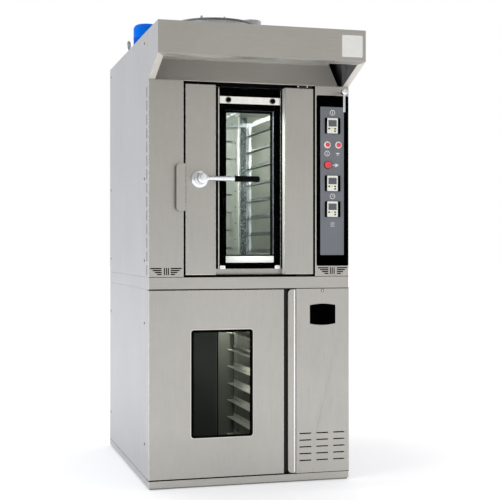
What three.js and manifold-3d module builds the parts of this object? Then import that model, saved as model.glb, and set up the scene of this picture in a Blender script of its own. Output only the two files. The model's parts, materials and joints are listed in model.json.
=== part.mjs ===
// Rotating rack oven standing on a proofer cabinet.
// Millimetres, +Z up, the door side faces -Y. Inside the cabinet group X runs from the
// left side, Y from the door face towards the back and Z from the floor. The group is moved
// so that the origin lies on the floor, in the middle of the whole outline.

import * as THREE from 'three';
import { mergeVertices } from 'three/addons/utils/BufferGeometryUtils.js';
import Module from 'manifold-3d';

const wasm = await Module();
wasm.setup();

// ---------------------------------------------------------------- driving dimensions
// Sheet metal, seams and running clearances.
const sheet = 2;
const plate = 3;
const fold = 25;
const seam = 0.6;
const runClear = 1;

// Baking rack for trays of 400 x 600.
const trayWidth = 400;
const trayDepth = 600;
const trayPlay = 22;
const trayOverhang = 10;
const rackLevels = 8;
const levelPitch = 92;
const rackPost = 24;
const rackFoot = 60;
const rackHead = 76;
const railThick = 3;
const railShelf = 26;
const topBarHeight = 22;

// Baking chamber around the turning rack.
const rackClear = 15.7;
const wall = 103;
const sideInsulation = 42;
const floorInsulation = 34;
const roofInsulation = 70;
const rackFloorClear = 15;
const rackTopClear = 45;
const channelDepth = 284;
const backWall = 70;
const mouthSide = 112;
const mouthSill = 6;
const mouthHingeClear = 33;

// Air diffuser and the heating element behind it.
const diffuserSlotLength = 33;
const diffuserSlotHeight = 9;
const diffuserSlotInset = 101;
const diffuserSlotPitch = 100;
const intakeRadius = 60;
const intakeInset = 147;
const intakeDrop = 160;
const heaterRadius = 6;
const heaterRows = 5;
const heaterPitch = 90;
const heaterInsetLeft = 227;
const heaterInsetRight = 107;
const heaterSetback = 70;

// Oven front.
const leftPillarWidth = 169;
const rightPillarWidth = 174.5;
const pillarReturn = 24;
const sillGap = 8.4;
const doorGapLeft = 8.5;
const doorGapRight = 10.5;
const doorGapTop = 14.5;
const lintel = 40;

// Oven door.
const doorShellDepth = 66;
const doorLinerDepth = 32;
const doorRecess = 58;
const doorLeftPanel = 148.3;
const doorRightPanel = 142.7;
const hingeInset = 25;
const hingeSetback = 20;
const linerInset = 13;
const linerHingeClear = 10;
const glassThick = 5;
const glassInsetLeft = 31.2;
const glassInsetRight = 8.3;
const windowInsetSide = 33;
const windowInsetBottom = 69;
const windowInsetTop = 110;
const railHeight = 27;
const barDrop = 45;
const barHeight = 35;
const barThick = 6;
const knobRadius = 12;
const knobReach = 14;
const knobInset = 43;
const sealDepth = 12;
const sealBand = 20;

// Door lever and its keeper.
const leverRise = 456;
const leverInset = 67.5;
const rosetteRadius = 41.5;
const bossRadius = 25.5;
const bossReach = 88;
const rodRadius = 10;
const rodLength = 152;
const gripRadius = 14;
const gripLength = 122;
const latchReach = 64;
const latchSetback = 30;
const latchThick = 8;
const keeperWidth = 44;
const keeperHeight = 223;
const keeperRadius = 17;
const keeperProud = 28;
const keeperOverhang = 3;

// Hood above the door.
const hoodReach = 232;
const hoodHeight = 235.5;
const hoodFascia = 148;
const hoodLip = 32;
const baffleShelf = 54;
const baffleRun = 135;
const baffleRise = 131;

// Control panel on the right pillar.
const panelWidth = 164;
const panelMargin = 3;
const panelBottom = 51;
const panelHeight = 836;
const panelThick = 3;
const panelCornerRadius = 8;
const controllerWidth = 79;
const controllerHeight = 77;
const controllerInset = 41;
const controllerDrops = [187, 470, 596.5];
const controllerProud = 8;
const buttonRadius = 10;
const stopButtonRadius = 16.5;
const buttonTravel = 3;
const buttonProud = 9;
const leftButtonInset = 55;
const rightButtonInset = 112;
const upperButtonDrop = 242;
const stopButtonDrop = 341;

// Roof gear.
const gearModule = 5;
const gearTeeth = 48;
const pinionTeeth = 12;
const gearThick = 18;
const backlash = 1.4;
const rackShaftRadius = 15;
const pinionShaftRadius = 9;
const drumRadius = 208;
const drumHeight = 130;
const drumShiftX = -70;
const drumShiftY = -28;
const drumLidOver = 6;
const gearMotorRadius = 52;
const gearMotorHeight = 165;
const fanInsetX = 82;
const fanInsetY = 95;
const fanRadius = 74;
const fanHeight = 80;
const fanBlades = 9;
const fanShaftRadius = 9;
const fanMotorRadius = 75;
const fanMotorHeight = 236;

// Flue and its damper.
const flueX = 671;
const flueSetback = 123;
const flueRadius = 57;
const flueAboveRoof = 195;
const flapRise = 108;
const flapPlay = 3;
const damperShaftRadius = 5;
const damperCrank = 30;
const damperCrankSetback = 21;
const damperLeverInset = 50;
const damperLeverDrop = 34.5;
const damperLeverReach = 82;
const damperRodLength = 99;
const damperRodRadius = 5.75;
const damperBossRadius = 14.5;

// Proofer cabinet.
const footHeight = 8;
const footRadius = 24;
const plinthHeight = 34;
const prooferHeight = 901;
const deckHeight = 59;
const prooferDoorDepth = 45;
const prooferDoorGap = 4;
const prooferHingeInset = 7;
const prooferHingeGap = 3;
const servicePanelWidth = 273;
const centreGap = 3;
const prooferWindowLeft = 204;
const prooferWindowBottom = 190;
const prooferWindowWidth = 305;
const prooferWindowHeight = 515;
const prooferWindowFrame = 11;
const prooferWindowRadius = 14;
const prooferWall = 48;
const prooferCavityDepth = 960;
const ladderPost = 20;
const ladderPitch = 92;
const ladderFloor = 60;
const handleWidth = 38;
const handleGroove = 20;
const handleDepth = 27;
const handleProud = 2;
const handleFlange = 14;
const handleThick = 3;
const handleRadius = 20;

// Slots and grilles.
const slotHeight = 5.5;
const servicePanelSlotColumns = [[17, 78], [104, 164], [191, 253]];
const servicePanelSlotRises = [59, 92, 125, 158, 190.7];
const sideSlotLength = 60;
const sideSlotPitch = 78;
const sideSlotWidth = 4;
const sideSlotSetback = 58;

// ---------------------------------------------------------------- places worked out
const rackWidth = trayWidth + 2 * trayPlay;
const rackDepth = trayDepth + 2 * trayOverhang;
const rackSwing = Math.hypot(rackWidth, rackDepth) / 2;
const chamberHalf = rackSwing + rackClear;
const width = 2 * (chamberHalf + wall);
const middleX = width / 2;

const doorDepth = doorShellDepth + seam + doorLinerDepth;
const chamberFront = doorDepth + sealDepth;
const rackY = chamberFront + sheet + rackSwing + rackClear - 4;
const diffuserY = rackY + rackSwing + rackClear - 8;
const chamberBack = diffuserY + sheet + channelDepth;
const depth = chamberBack + backWall;

const plinthTop = footHeight + plinthHeight;
const prooferTop = plinthTop + prooferHeight;
const deckTop = prooferTop + deckHeight;
const sillTop = deckTop + 1.6;
const doorBottom = sillTop + sillGap;
const chamberBottom = deckTop + floorInsulation + 4;
const rackBottom = chamberBottom + rackFloorClear;
const firstLevel = rackBottom + rackFoot;
const topLevel = firstLevel + (rackLevels - 1) * levelPitch;
const rackTop = topLevel + rackHead;
const chamberTop = rackTop + rackTopClear;
const doorTop = chamberTop + lintel;
const openingTop = doorTop + doorGapTop;
const roofTop = openingTop + hoodHeight;
const roofUnder = roofTop - sheet;

const doorLeft = leftPillarWidth + doorGapLeft;
const doorRight = width - rightPillarWidth - doorGapRight;
const recessLeft = doorLeft + doorLeftPanel;
const recessRight = doorRight - doorRightPanel;
const hingeX = doorRight - hingeInset;
const glassLeft = recessLeft + glassInsetLeft;
const glassRight = recessRight - glassInsetRight;
const glassBottom = doorBottom + railHeight;
const windowLeft = glassLeft + windowInsetSide;
const windowRight = glassRight - windowInsetSide;
const windowBottom = glassBottom + windowInsetBottom;
const windowTop = doorTop - windowInsetTop;
const leverX = doorLeft + leverInset;
const leverZ = doorBottom + leverRise;
const mouthLeft = middleX - chamberHalf + mouthSide;
const mouthRight = hingeX - mouthHingeClear;

// ---------------------------------------------------------------- materials
const finish = (color, roughness, metalness) =>
  new THREE.MeshStandardMaterial({ color, roughness, metalness, flatShading: true });
const steelFront = finish(0xa8a59c, 0.42, 0.85);
const steelSide = finish(0xc6c8cd, 0.45, 0.8);
const steelInner = finish(0xb9bcb8, 0.3, 0.9);
const steelBright = finish(0xdadcde, 0.22, 0.95);
const galvanised = finish(0xc4c8cc, 0.5, 0.75);
const blackPlastic = finish(0x17181a, 0.45, 0);
const clearGlass = finish(0x9fb0ae, 0.05, 0);
const redPlastic = finish(0xc8141c, 0.35, 0);
const whitePlastic = finish(0xe9e9e6, 0.45, 0);
const motorBlue = finish(0x1f5fb8, 0.45, 0.2);
const sealRubber = finish(0x3c3f42, 0.8, 0);
const mineralWool = finish(0xb8ab7a, 0.95, 0);
const hardSteel = finish(0x7d8084, 0.35, 0.9);

// ---------------------------------------------------------------- making solids
// Corners are rounded to this, so that faces meant to be flush are flush in every piece.
const cornerGrid = 0.001;
const onGrid = (value) => Math.round(value / cornerGrid) * cornerGrid;

function solidOf(geometry) {
  geometry.deleteAttribute('normal');
  geometry.deleteAttribute('uv');
  const merged = mergeVertices(geometry, 1e-4);
  const vertProperties = Float32Array.from(merged.attributes.position.array, onGrid);
  const triVerts = new Uint32Array(merged.index.array);
  return new wasm.Manifold(new wasm.Mesh({ numProp: 3, vertProperties, triVerts }));
}

// The mesh of a finished solid. Slivers finer than this join the flat faces that they lie in.
const flatness = 0.01;

function geometryOf(solid) {
  const { vertProperties, triVerts } = solid.asOriginal().simplify(flatness).getMesh();
  const geometry = new THREE.BufferGeometry();
  geometry.setAttribute('position', new THREE.BufferAttribute(vertProperties, 3));
  geometry.setIndex(new THREE.BufferAttribute(triVerts, 1));
  return geometry;
}

// A block between two corners.
function block(x0, x1, y0, y1, z0, z1) {
  const box = new THREE.BoxGeometry(x1 - x0, y1 - y0, z1 - z0);
  box.translate((x0 + x1) / 2, (y0 + y1) / 2, (z0 + z1) / 2);
  return solidOf(box);
}

// A round bar between two heights along the axis 'x', 'y' or 'z'. u and v place its
// centre on the other two axes, in alphabetical order.
function bar(axis, radius, from, to, u, v, sides = 16) {
  const rod = new THREE.CylinderGeometry(radius, radius, to - from, sides);
  const mid = (from + to) / 2;
  if (axis === 'x') {
    rod.rotateZ(Math.PI / 2);
    rod.translate(mid, u, v);
  } else if (axis === 'y') {
    rod.translate(u, mid, v);
  } else {
    rod.rotateX(Math.PI / 2);
    rod.translate(u, v, mid);
  }
  return solidOf(rod);
}

// An outline drawn in X and Z, drawn out along Y.
function alongY(shape, y0, y1, curveSegments = 6) {
  const options = { depth: y1 - y0, bevelEnabled: false, curveSegments };
  const slab = new THREE.ExtrudeGeometry(shape, options);
  slab.rotateX(Math.PI / 2);
  slab.translate(0, y1, 0);
  return solidOf(slab);
}

// An outline drawn in Y and Z, drawn out along X.
function alongX(points, x0, x1) {
  const shape = new THREE.Shape(points.map(([y, z]) => new THREE.Vector2(y, z)));
  const slab = new THREE.ExtrudeGeometry(shape, { depth: x1 - x0, bevelEnabled: false });
  slab.rotateY(Math.PI / 2);
  slab.rotateX(Math.PI / 2);
  slab.translate(x0, 0, 0);
  return solidOf(slab);
}

// An outline drawn in X and Y, drawn out along Z.
function alongZ(points, z0, z1) {
  const shape = new THREE.Shape(points.map(([x, y]) => new THREE.Vector2(x, y)));
  const slab = new THREE.ExtrudeGeometry(shape, { depth: z1 - z0, bevelEnabled: false });
  slab.translate(0, 0, z0);
  return solidOf(slab);
}

function roundedOutline(x0, x1, z0, z1, radius, roundRight = true) {
  const shape = new THREE.Shape();
  const quarter = Math.PI / 2;
  shape.moveTo(x0 + radius, z0);
  if (roundRight) {
    shape.absarc(x1 - radius, z0 + radius, radius, -quarter, 0);
    shape.absarc(x1 - radius, z1 - radius, radius, 0, quarter);
  } else {
    shape.lineTo(x1, z0);
    shape.lineTo(x1, z1);
  }
  shape.absarc(x0 + radius, z1 - radius, radius, quarter, 2 * quarter);
  shape.absarc(x0 + radius, z0 + radius, radius, 2 * quarter, 3 * quarter);
  return shape;
}

function join(...solids) {
  return solids.reduce((whole, next) => whole.add(next));
}

function cut(solid, ...tools) {
  return tools.reduce((rest, tool) => rest.subtract(tool), solid);
}

// A folded sheet tray: a block hollowed from one side, named by its open face.
function tray(x0, x1, y0, y1, z0, z1, open, gauge = sheet) {
  const inner = {
    x0: x0 + gauge, x1: x1 - gauge, y0: y0 + gauge, y1: y1 - gauge, z0: z0 + gauge, z1: z1 - gauge,
  };
  const past = { '+x': ['x1', x1 + 1], '-x': ['x0', x0 - 1], '+y': ['y1', y1 + 1],
    '-y': ['y0', y0 - 1], '+z': ['z1', z1 + 1], '-z': ['z0', z0 - 1] };
  const [edge, place] = past[open];
  inner[edge] = place;
  const hollow = block(inner.x0, inner.x1, inner.y0, inner.y1, inner.z0, inner.z1);
  return block(x0, x1, y0, y1, z0, z1).subtract(hollow);
}

// A block with a smaller block taken out of its middle along Y.
function ringAlongY(x0, x1, y0, y1, z0, z1, band) {
  const hole = block(x0 + band, x1 - band, y0 - 1, y1 + 1, z0 + band, z1 - band);
  return block(x0, x1, y0, y1, z0, z1).subtract(hole);
}

// ---------------------------------------------------------------- the object
const oven = new THREE.Group();
oven.name = 'rotating_rack_oven';
const cabinet = new THREE.Group();
cabinet.position.set(-middleX, -(depth - hoodReach) / 2, 0);
oven.add(cabinet);

function add(name, solid, material, parent = cabinet) {
  const mesh = new THREE.Mesh(geometryOf(solid), material);
  mesh.name = name;
  parent.add(mesh);
  return mesh;
}

// ---- base and proofer cabinet
const prooferFront = prooferDoorDepth + prooferDoorGap;
const serviceLeft = width - servicePanelWidth;
const prooferDoorRight = serviceLeft - centreGap;
const linerLeft = prooferWall;
const linerRight = prooferDoorRight - prooferWall / 2;
const linerBottom = plinthTop + 20;
const linerTop = prooferTop - 20;
const linerBack = prooferFront + prooferCavityDepth;

function addPlinth() {
  const shell = tray(0, width, 0, depth, footHeight, plinthTop, '-z', plate);
  const corners = footPlaces().map(([x, y]) => bar('z', 7, footHeight, plinthTop + 1, x, y, 12));
  add('plinth_frame', cut(shell, ...corners), steelSide);
}

function footPlaces() {
  const inset = 60;
  return [[inset, inset], [width - inset, inset], [inset, depth - inset],
    [width - inset, depth - inset]];
}

function addFeet() {
  const names = ['front_left', 'front_right', 'rear_left', 'rear_right'];
  const nutTop = plinthTop - plate - seam;
  const pad = bar('z', footRadius, 0, footHeight - 1, 0, 0, 16);
  const stem = bar('z', 6, footHeight - 2, plinthTop + 6, 0, 0, 12);
  const nut = bar('z', 12, nutTop - 9, nutTop, 0, 0, 6);
  const foot = join(pad, stem, nut);
  footPlaces().forEach(([x, y], index) => {
    add(`levelling_foot_${names[index]}`, foot, hardSteel).position.set(x, y, 0);
  });
}

function addProoferCabinet() {
  const z0 = plinthTop + seam;
  const z1 = prooferTop - seam;
  const back = depth - fold - seam;
  add('proofer_left_side', tray(0, fold, prooferFront, depth, z0, z1, '+x'), steelSide);
  add('proofer_right_side', tray(width - fold, width, 0, depth, z0, z1, '-x'), steelSide);
  add('proofer_back', tray(fold + seam, width - fold - seam, back + seam, depth, z0, z1, '-y'),
    galvanised);
  const gauge = 1.5;
  const liner = tray(linerLeft, linerRight, prooferFront, linerBack, linerBottom, linerTop, '-y',
    gauge);
  const fromLeft = block(fold + seam, linerLeft + 1, prooferFront, prooferFront + gauge, z0, z1);
  const fromRight = block(linerRight - 1, prooferDoorRight, prooferFront, prooferFront + gauge,
    z0, z1);
  const below = block(fold + seam, prooferDoorRight, prooferFront, prooferFront + gauge, z0,
    linerBottom + 1);
  const above = block(fold + seam, prooferDoorRight, prooferFront, prooferFront + gauge,
    linerTop - 1, z1);
  add('proofer_liner', join(liner, fromLeft, fromRight, below, above), steelInner);
}

function addServicePanel() {
  const bottom = plinthTop + seam;
  const top = prooferTop - seam;
  const skin = block(serviceLeft, width, -seam - sheet, -seam, bottom, top);
  const side = block(serviceLeft, serviceLeft + sheet, -seam - 1, prooferFront - seam, bottom, top);
  const slots = [];
  for (const [from, to] of servicePanelSlotColumns) {
    for (const rise of servicePanelSlotRises) {
      slots.push(block(serviceLeft + from, serviceLeft + to, -fold, fold, plinthTop + rise,
        plinthTop + rise + slotHeight));
    }
  }
  add('service_panel', cut(join(skin, side), ...slots), steelFront);
}

function addDeck() {
  const outer = block(0, width, 0, depth, prooferTop, deckTop);
  const inner = block(plate, width - plate, plate, depth - plate, prooferTop - 1, deckTop - plate);
  add('middle_deck', outer.subtract(inner), steelFront);
}

function addTraySlides() {
  const centre = (linerLeft + linerRight) / 2;
  const half = (trayWidth + 20) / 2;
  const front = prooferFront + 42;
  const back = front + trayDepth + 50;
  const bottom = linerBottom + 2 + runClear;
  const top = linerTop - 30;
  const pieces = [];
  for (const side of [-1, 1]) {
    const x = centre + side * half;
    const outside = x + side * ladderPost;
    const [x0, x1] = [Math.min(x, outside), Math.max(x, outside)];
    const skin = outside - side * sheet;
    const [w0, w1] = [Math.min(skin, outside), Math.max(skin, outside)];
    for (const y of [front, back - ladderPost]) {
      pieces.push(block(w0, w1, y, y + ladderPost, bottom, top));
      const face = y === front ? y : back - sheet;
      pieces.push(block(x0, x1, face, face + sheet, bottom, top));
    }
    pieces.push(block(w0, w1, front, back, bottom, bottom + ladderPost));
    pieces.push(block(w0, w1, front, back, top - ladderPost, top));
    for (let z = bottom + ladderFloor; z < top - ladderPost - 8; z += ladderPitch) {
      const edge = x - side * 16;
      pieces.push(block(Math.min(edge, outside), Math.max(edge, outside), front, back, z, z + 2));
      pieces.push(block(w0, w1, front, back, z, z + 24));
    }
  }
  for (const z of [bottom, top - ladderPost]) {
    pieces.push(block(centre - half - ladderPost, centre + half + ladderPost, back - sheet, back,
      z, z + ladderPost));
  }
  add('proofer_tray_slides', join(...pieces), steelBright);
}

function addProoferDoor() {
  const bottom = plinthTop + prooferHingeGap;
  const top = prooferTop - prooferHingeGap;
  const hingeY = prooferDoorDepth - prooferHingeInset;
  const pinRadius = 4;
  const x0 = prooferWindowLeft;
  const x1 = x0 + prooferWindowWidth;
  const z0 = bottom + prooferWindowBottom;
  const z1 = z0 + prooferWindowHeight;
  const opening = alongY(roundedOutline(x0, x1, z0, z1, prooferWindowRadius), -5,
    prooferDoorDepth + 5);
  const slab = block(0, prooferDoorRight, 0, prooferDoorDepth, bottom, top);
  const handleLeft = prooferDoorRight - handleWidth;
  const grooveLeft = handleLeft - handleGroove;
  const groove = block(grooveLeft, prooferDoorRight + 1, -1, handleDepth, bottom - 1, top + 1);
  const grooveShell = block(grooveLeft - sheet, prooferDoorRight, -1, handleDepth + sheet,
    bottom, top);
  const pinBlock = 20;
  const cavity = block(pinBlock, prooferDoorRight - sheet, sheet, prooferDoorDepth - sheet,
    bottom + sheet, top - sheet);
  const tunnel = block(x0 - sheet, x1 + sheet, 0, prooferDoorDepth, z0 - sheet, z1 + sheet);
  const drain = block(pinBlock + 10, grooveLeft - 20, 12, prooferDoorDepth - 12, bottom - 1,
    bottom + sheet + 1);
  const pinHoles = [
    bar('z', pinRadius + 0.5, bottom - 1, bottom + 16, prooferHingeInset, hingeY, 20),
    bar('z', pinRadius + 0.5, top - 16, top + 1, prooferHingeInset, hingeY, 20),
  ];
  add('proofer_door', cut(slab, cut(cavity, tunnel, grooveShell), groove, drain, opening,
    ...pinHoles), steelFront);

  const gap = 0.4;
  const frameOuter = roundedOutline(x0 + gap, x1 - gap, z0 + gap, z1 - gap, prooferWindowRadius);
  const inset = prooferWindowFrame;
  const frameInner = roundedOutline(x0 + inset, x1 - inset, z0 + inset, z1 - inset, 4);
  const window = alongY(frameOuter, -1.5, prooferDoorDepth);
  const face = alongY(frameInner, -3, prooferDoorDepth / 2 - 3);
  const rear = alongY(frameInner, prooferDoorDepth / 2 + 3, prooferDoorDepth + 1);
  add('proofer_window', cut(window, face, rear), clearGlass);

  const right = prooferDoorRight;
  const back = handleDepth - 0.4;
  const section = [
    [handleLeft, -handleProud], [right, -handleProud], [right, back], [right - handleFlange, back],
    [right - handleFlange, back - handleThick], [right - handleThick, back - handleThick],
    [right - handleThick, handleThick - handleProud], [handleLeft, handleThick - handleProud],
  ];
  const front = alongY(roundedOutline(handleLeft, right, bottom + 1, top - 1, handleRadius, false),
    -handleProud - 1, handleDepth);
  add('proofer_handle', alongZ(section, bottom, top).intersect(front), steelBright);

  const plateThick = prooferHingeGap - 2 * seam;
  const makeHinge = (z, up) => {
    const leaf = block(2, 82, prooferDoorDepth - 24, prooferDoorDepth - 2, z, z + plateThick);
    const pinFrom = up ? z : z - 13;
    const pinTo = up ? z + plateThick + 13 : z + plateThick;
    return join(leaf, bar('z', pinRadius, pinFrom, pinTo, prooferHingeInset, hingeY, 20));
  };
  add('proofer_hinge_lower', makeHinge(plinthTop + seam, true), hardSteel);
  add('proofer_hinge_upper', makeHinge(prooferTop - seam - plateThick, false), hardSteel);
}

// ---- oven casing
function addOvenSides() {
  const z0 = deckTop + seam;
  const z1 = roofTop;
  const front = pillarReturn + seam;
  const slots = [];
  for (let z = openingTop - sideSlotLength; z > deckTop + 20; z -= sideSlotPitch) {
    slots.push(block(-5, fold / 2, sideSlotSetback - sideSlotWidth / 2,
      sideSlotSetback + sideSlotWidth / 2, z, z + sideSlotLength));
  }
  add('oven_left_side', cut(tray(0, fold, front, depth, z0, z1, '+x'), ...slots), steelSide);
  const mirrored = slots.map((slot) => slot.mirror([1, 0, 0]).translate([width, 0, 0]));
  add('oven_right_side', cut(tray(width - fold, width, front, depth, z0, z1, '-x'), ...mirrored),
    steelSide);
  const back = tray(fold + seam, width - fold - seam, depth - fold, depth, z0, z1, '-y');
  add('oven_back', back, galvanised);
}

const pinionX = middleX - gearModule * (gearTeeth + pinionTeeth) / 2;
const fanX = middleX - chamberHalf + fanInsetX;
const fanY = chamberBack - fanInsetY;
const flueY = rackY + flueSetback;

function addRoof() {
  const roof = tray(fold + seam, width - fold - seam, pillarReturn + seam,
    depth - fold - seam, roofTop - fold, roofTop, '-z');
  const holes = [
    bar('z', rackShaftRadius + 2, roofUnder - 1, roofTop + 1, middleX, rackY),
    bar('z', pinionShaftRadius + 2, roofUnder - 1, roofTop + 1, pinionX, rackY),
    bar('z', fanShaftRadius + 2, roofUnder - 1, roofTop + 1, fanX, fanY),
    bar('z', flueRadius + runClear, roofUnder - 1, roofTop + 1, flueX, flueY, 36),
  ];
  add('oven_roof', cut(roof, ...holes), galvanised);
}

function ventSlots(edge, side) {
  const rows = [[6.7, 62, 105.6, 160], [19.5, 62, 105.6, 149], [30, 62, 105.6, 138.4],
    [40.5, 62, 105.6, 126.3]];
  const rise = 13.5;
  const pitch = 9.3;
  const slots = [];
  const slot = (a, b, z0, z1) => {
    const [x0, x1] = [edge + side * a, edge + side * b];
    slots.push(block(Math.min(x0, x1), Math.max(x0, x1), -5, sheet + 3, z0, z1));
  };
  rows.forEach(([a0, a1, b0, b1], index) => {
    const z = deckTop + rise + (rows.length - 1 - index) * pitch;
    slot(a0, a1, z - slotHeight / 2, z + slotHeight / 2);
    slot(b0, b1, z - slotHeight / 2, z + slotHeight / 2);
  });
  for (const x of [76, 86, 95]) {
    slot(x - 2.5, x + 2.5, deckTop + rise - 3, deckTop + rise + 3 * pitch + 3);
  }
  return slots;
}

const damperX = width - damperLeverInset;
const damperZ = openingTop - damperLeverDrop;

function addPillars() {
  const z0 = deckTop + seam;
  const jamb = chamberFront - seam;
  const left = join(
    block(0, leftPillarWidth, 0, sheet, z0, openingTop),
    block(0, sheet, 0, pillarReturn, z0, openingTop),
    block(leftPillarWidth - sheet, leftPillarWidth, 0, jamb, z0, openingTop),
  );
  const latchSlot = block(leftPillarWidth - 4, leftPillarWidth + 1, latchSetback - 3,
    latchSetback + latchThick + 3, leverZ - 16, leverZ + 44);
  add('left_pillar', cut(left, latchSlot, ...ventSlots(0, 1)), steelFront);
  const inner = width - rightPillarWidth;
  const right = join(
    block(inner, width, 0, sheet, z0, openingTop),
    block(width - sheet, width, 0, pillarReturn, z0, openingTop),
    block(inner, inner + sheet, 0, jamb, z0, openingTop),
  );
  const panelLeft = width - panelMargin - panelWidth;
  const cutOut = block(panelLeft + 20, panelLeft + panelWidth - 20, -1, sheet + 1,
    deckTop + panelBottom + 60, deckTop + panelBottom + panelHeight - 60);
  const shaftHole = bar('y', damperShaftRadius + runClear, -1, sheet + 1, damperX, damperZ, 20);
  add('right_pillar', cut(right, cutOut, shaftHole, ...ventSlots(width, -1)), steelFront);
}

function addHood() {
  const slantTop = openingTop + hoodHeight - hoodFascia;
  const slantFoot = openingTop + 1.5;
  const outline = [
    [-hoodReach, roofTop], [-hoodReach, slantTop], [0, slantFoot], [pillarReturn, slantFoot],
    [pillarReturn, roofTop],
  ];
  const whole = alongX(outline, 0, width);
  const drop = slantTop - slantFoot;
  const slant = Math.hypot(hoodReach, drop);
  const stepY = hoodReach / slant;
  const stepZ = -drop / slant;
  const lift = plate / stepY;
  const inner = alongX([
    [-hoodReach + plate, roofTop - plate], [-hoodReach + plate, slantTop + lift + stepZ * plate],
    [0, slantFoot + lift], [pillarReturn + 1, slantFoot + lift], [pillarReturn + 1, roofTop - plate],
  ], plate, width - plate);
  const mouth = alongX([
    [-hoodReach + stepY * hoodLip, slantTop + stepZ * hoodLip + 12],
    [-hoodReach + stepY * hoodLip, slantTop + stepZ * hoodLip - 12],
    [0, slantFoot - 12], [pillarReturn + 1, slantFoot - 12], [pillarReturn + 1, slantFoot + 12],
    [0, slantFoot + 12],
  ], hoodLip, width - hoodLip);
  add('hood_shell', cut(whole, inner, mouth), steelFront);

  const z = openingTop + 1.5;
  const front = 1;
  const foot = [baffleShelf, z];
  const knee = [baffleShelf + baffleRun, z + baffleRise];
  const outlineBaffle = [
    [front, z], foot, knee, [knee[0], roofUnder - 2], [knee[0] + sheet, roofUnder - 2],
    [knee[0] + sheet, knee[1] - 1], [foot[0] + 1, z - sheet + 1], [front, z - sheet + 1],
  ];
  const baffle = alongX(outlineBaffle, hoodLip + 2, width - hoodLip - 2);
  const clear = block(leftPillarWidth, width - rightPillarWidth, -1, 4, z - 4, z - 0.5);
  add('hood_baffle', baffle.subtract(clear), steelInner);
}

// ---- baking chamber
const chamberLeft = middleX - chamberHalf;
const chamberRight = middleX + chamberHalf;

function shaftHoles(z0, z1, clear) {
  return [
    bar('z', rackShaftRadius + clear, z0, z1, middleX, rackY),
    bar('z', fanShaftRadius + clear, z0, z1, fanX, fanY),
  ];
}

function addChamber() {
  const liner = tray(chamberLeft - sheet, chamberRight + sheet, chamberFront,
    chamberBack + sheet, chamberBottom - sheet, chamberTop + sheet, '-y');
  const faceLeft = leftPillarWidth + seam;
  const faceRight = width - rightPillarWidth - seam;
  const face = block(chamberLeft - sheet, chamberRight + sheet, chamberFront, chamberFront + sheet,
    chamberBottom - sheet, chamberTop + sheet);
  const rim = block(faceLeft, faceRight, chamberFront, chamberFront + sheet, sillTop,
    openingTop - 2);
  const mouth = block(mouthLeft, mouthRight, chamberFront - 1, chamberFront + sheet + 1,
    chamberBottom + mouthSill, chamberTop - mouthSill);
  const sill = block(faceLeft, faceRight, seam, chamberFront + sheet, sillTop, sillTop + sheet);
  const flueHole = bar('z', flueRadius - 4, chamberTop - 1, chamberTop + sheet + 1, flueX, flueY,
    36);
  const holes = shaftHoles(chamberTop - 1, chamberTop + sheet + 1, 2);
  add('chamber_liner', cut(join(liner, face, rim, sill), mouth, flueHole, ...holes), steelInner);

  const gap = 1;
  const innerLeft = chamberLeft - sheet - gap;
  const innerRight = chamberRight + sheet + gap;
  const innerTop = chamberTop + sheet + gap;
  const front = chamberFront + sheet + gap;
  const back = depth - fold - gap;
  const woolBottom = deckTop + 1;
  const outer = block(innerLeft - sideInsulation, innerRight + sideInsulation, front, back,
    woolBottom, innerTop + roofInsulation);
  const inside = block(innerLeft, innerRight, front - 1, chamberBack + sheet + gap,
    chamberBottom - sheet - gap, innerTop);
  const flueBore = bar('z', flueRadius + 2, innerTop - 1, innerTop + roofInsulation + 1, flueX,
    flueY, 32);
  const linkSlot = block(flueX + 60, width, crankY - 20, crankY + 30, innerTop + 1,
    innerTop + roofInsulation + 1);
  const bores = shaftHoles(innerTop - 1, innerTop + roofInsulation + 1, 4);
  add('chamber_insulation', cut(outer, inside, flueBore, linkSlot, ...bores), mineralWool);
}

function addDiffuser() {
  const gap = 0.8;
  const left = chamberLeft + gap;
  const right = chamberRight - gap;
  const bottom = chamberBottom + gap;
  const top = chamberTop - gap;
  const panel = block(left, right, diffuserY, diffuserY + sheet, bottom, top);
  const slots = [];
  const half = diffuserSlotLength / 2;
  for (let z = firstLevel + 20; z < top - intakeRadius; z += diffuserSlotPitch) {
    for (const side of [-1, 1]) {
      const x = middleX + side * (diffuserSlotInset + half);
      slots.push(block(x - half, x + half, diffuserY - 1, diffuserY + sheet + 1, z,
        z + diffuserSlotHeight));
    }
  }
  const intake = bar('y', intakeRadius, diffuserY - 1, diffuserY + sheet + 1,
    chamberLeft + intakeInset, chamberTop - intakeDrop);
  add('air_diffuser', cut(panel, intake, ...slots), steelInner);
}

function addHeater() {
  const bend = heaterPitch / 2;
  const left = chamberLeft + heaterInsetLeft;
  const right = chamberRight - heaterInsetRight;
  const bottom = firstLevel + 60;
  const y = diffuserY + heaterSetback;
  const route = new THREE.CurvePath();
  const at = (x, z) => new THREE.Vector3(x, y, z);
  for (let row = 0; row < heaterRows; row += 1) {
    const z = bottom + row * 2 * bend;
    const forward = row % 2 === 0;
    const [from, to] = forward ? [left, right] : [right, left];
    route.add(new THREE.LineCurve3(at(from, z), at(to, z)));
    if (row < heaterRows - 1) {
      const out = forward ? bend * 1.33 : -bend * 1.33;
      const turn = [at(to, z), at(to + out, z), at(to + out, z + 2 * bend), at(to, z + 2 * bend)];
      route.add(new THREE.CubicBezierCurve3(...turn));
    }
  }
  const section = new THREE.Shape();
  section.absarc(0, 0, heaterRadius, 0, 2 * Math.PI);
  const options = { steps: 72, extrudePath: route, curveSegments: 2, bevelEnabled: false };
  const tube = new THREE.ExtrudeGeometry(section, options);
  add('heating_element', solidOf(tube), hardSteel);
}

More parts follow.
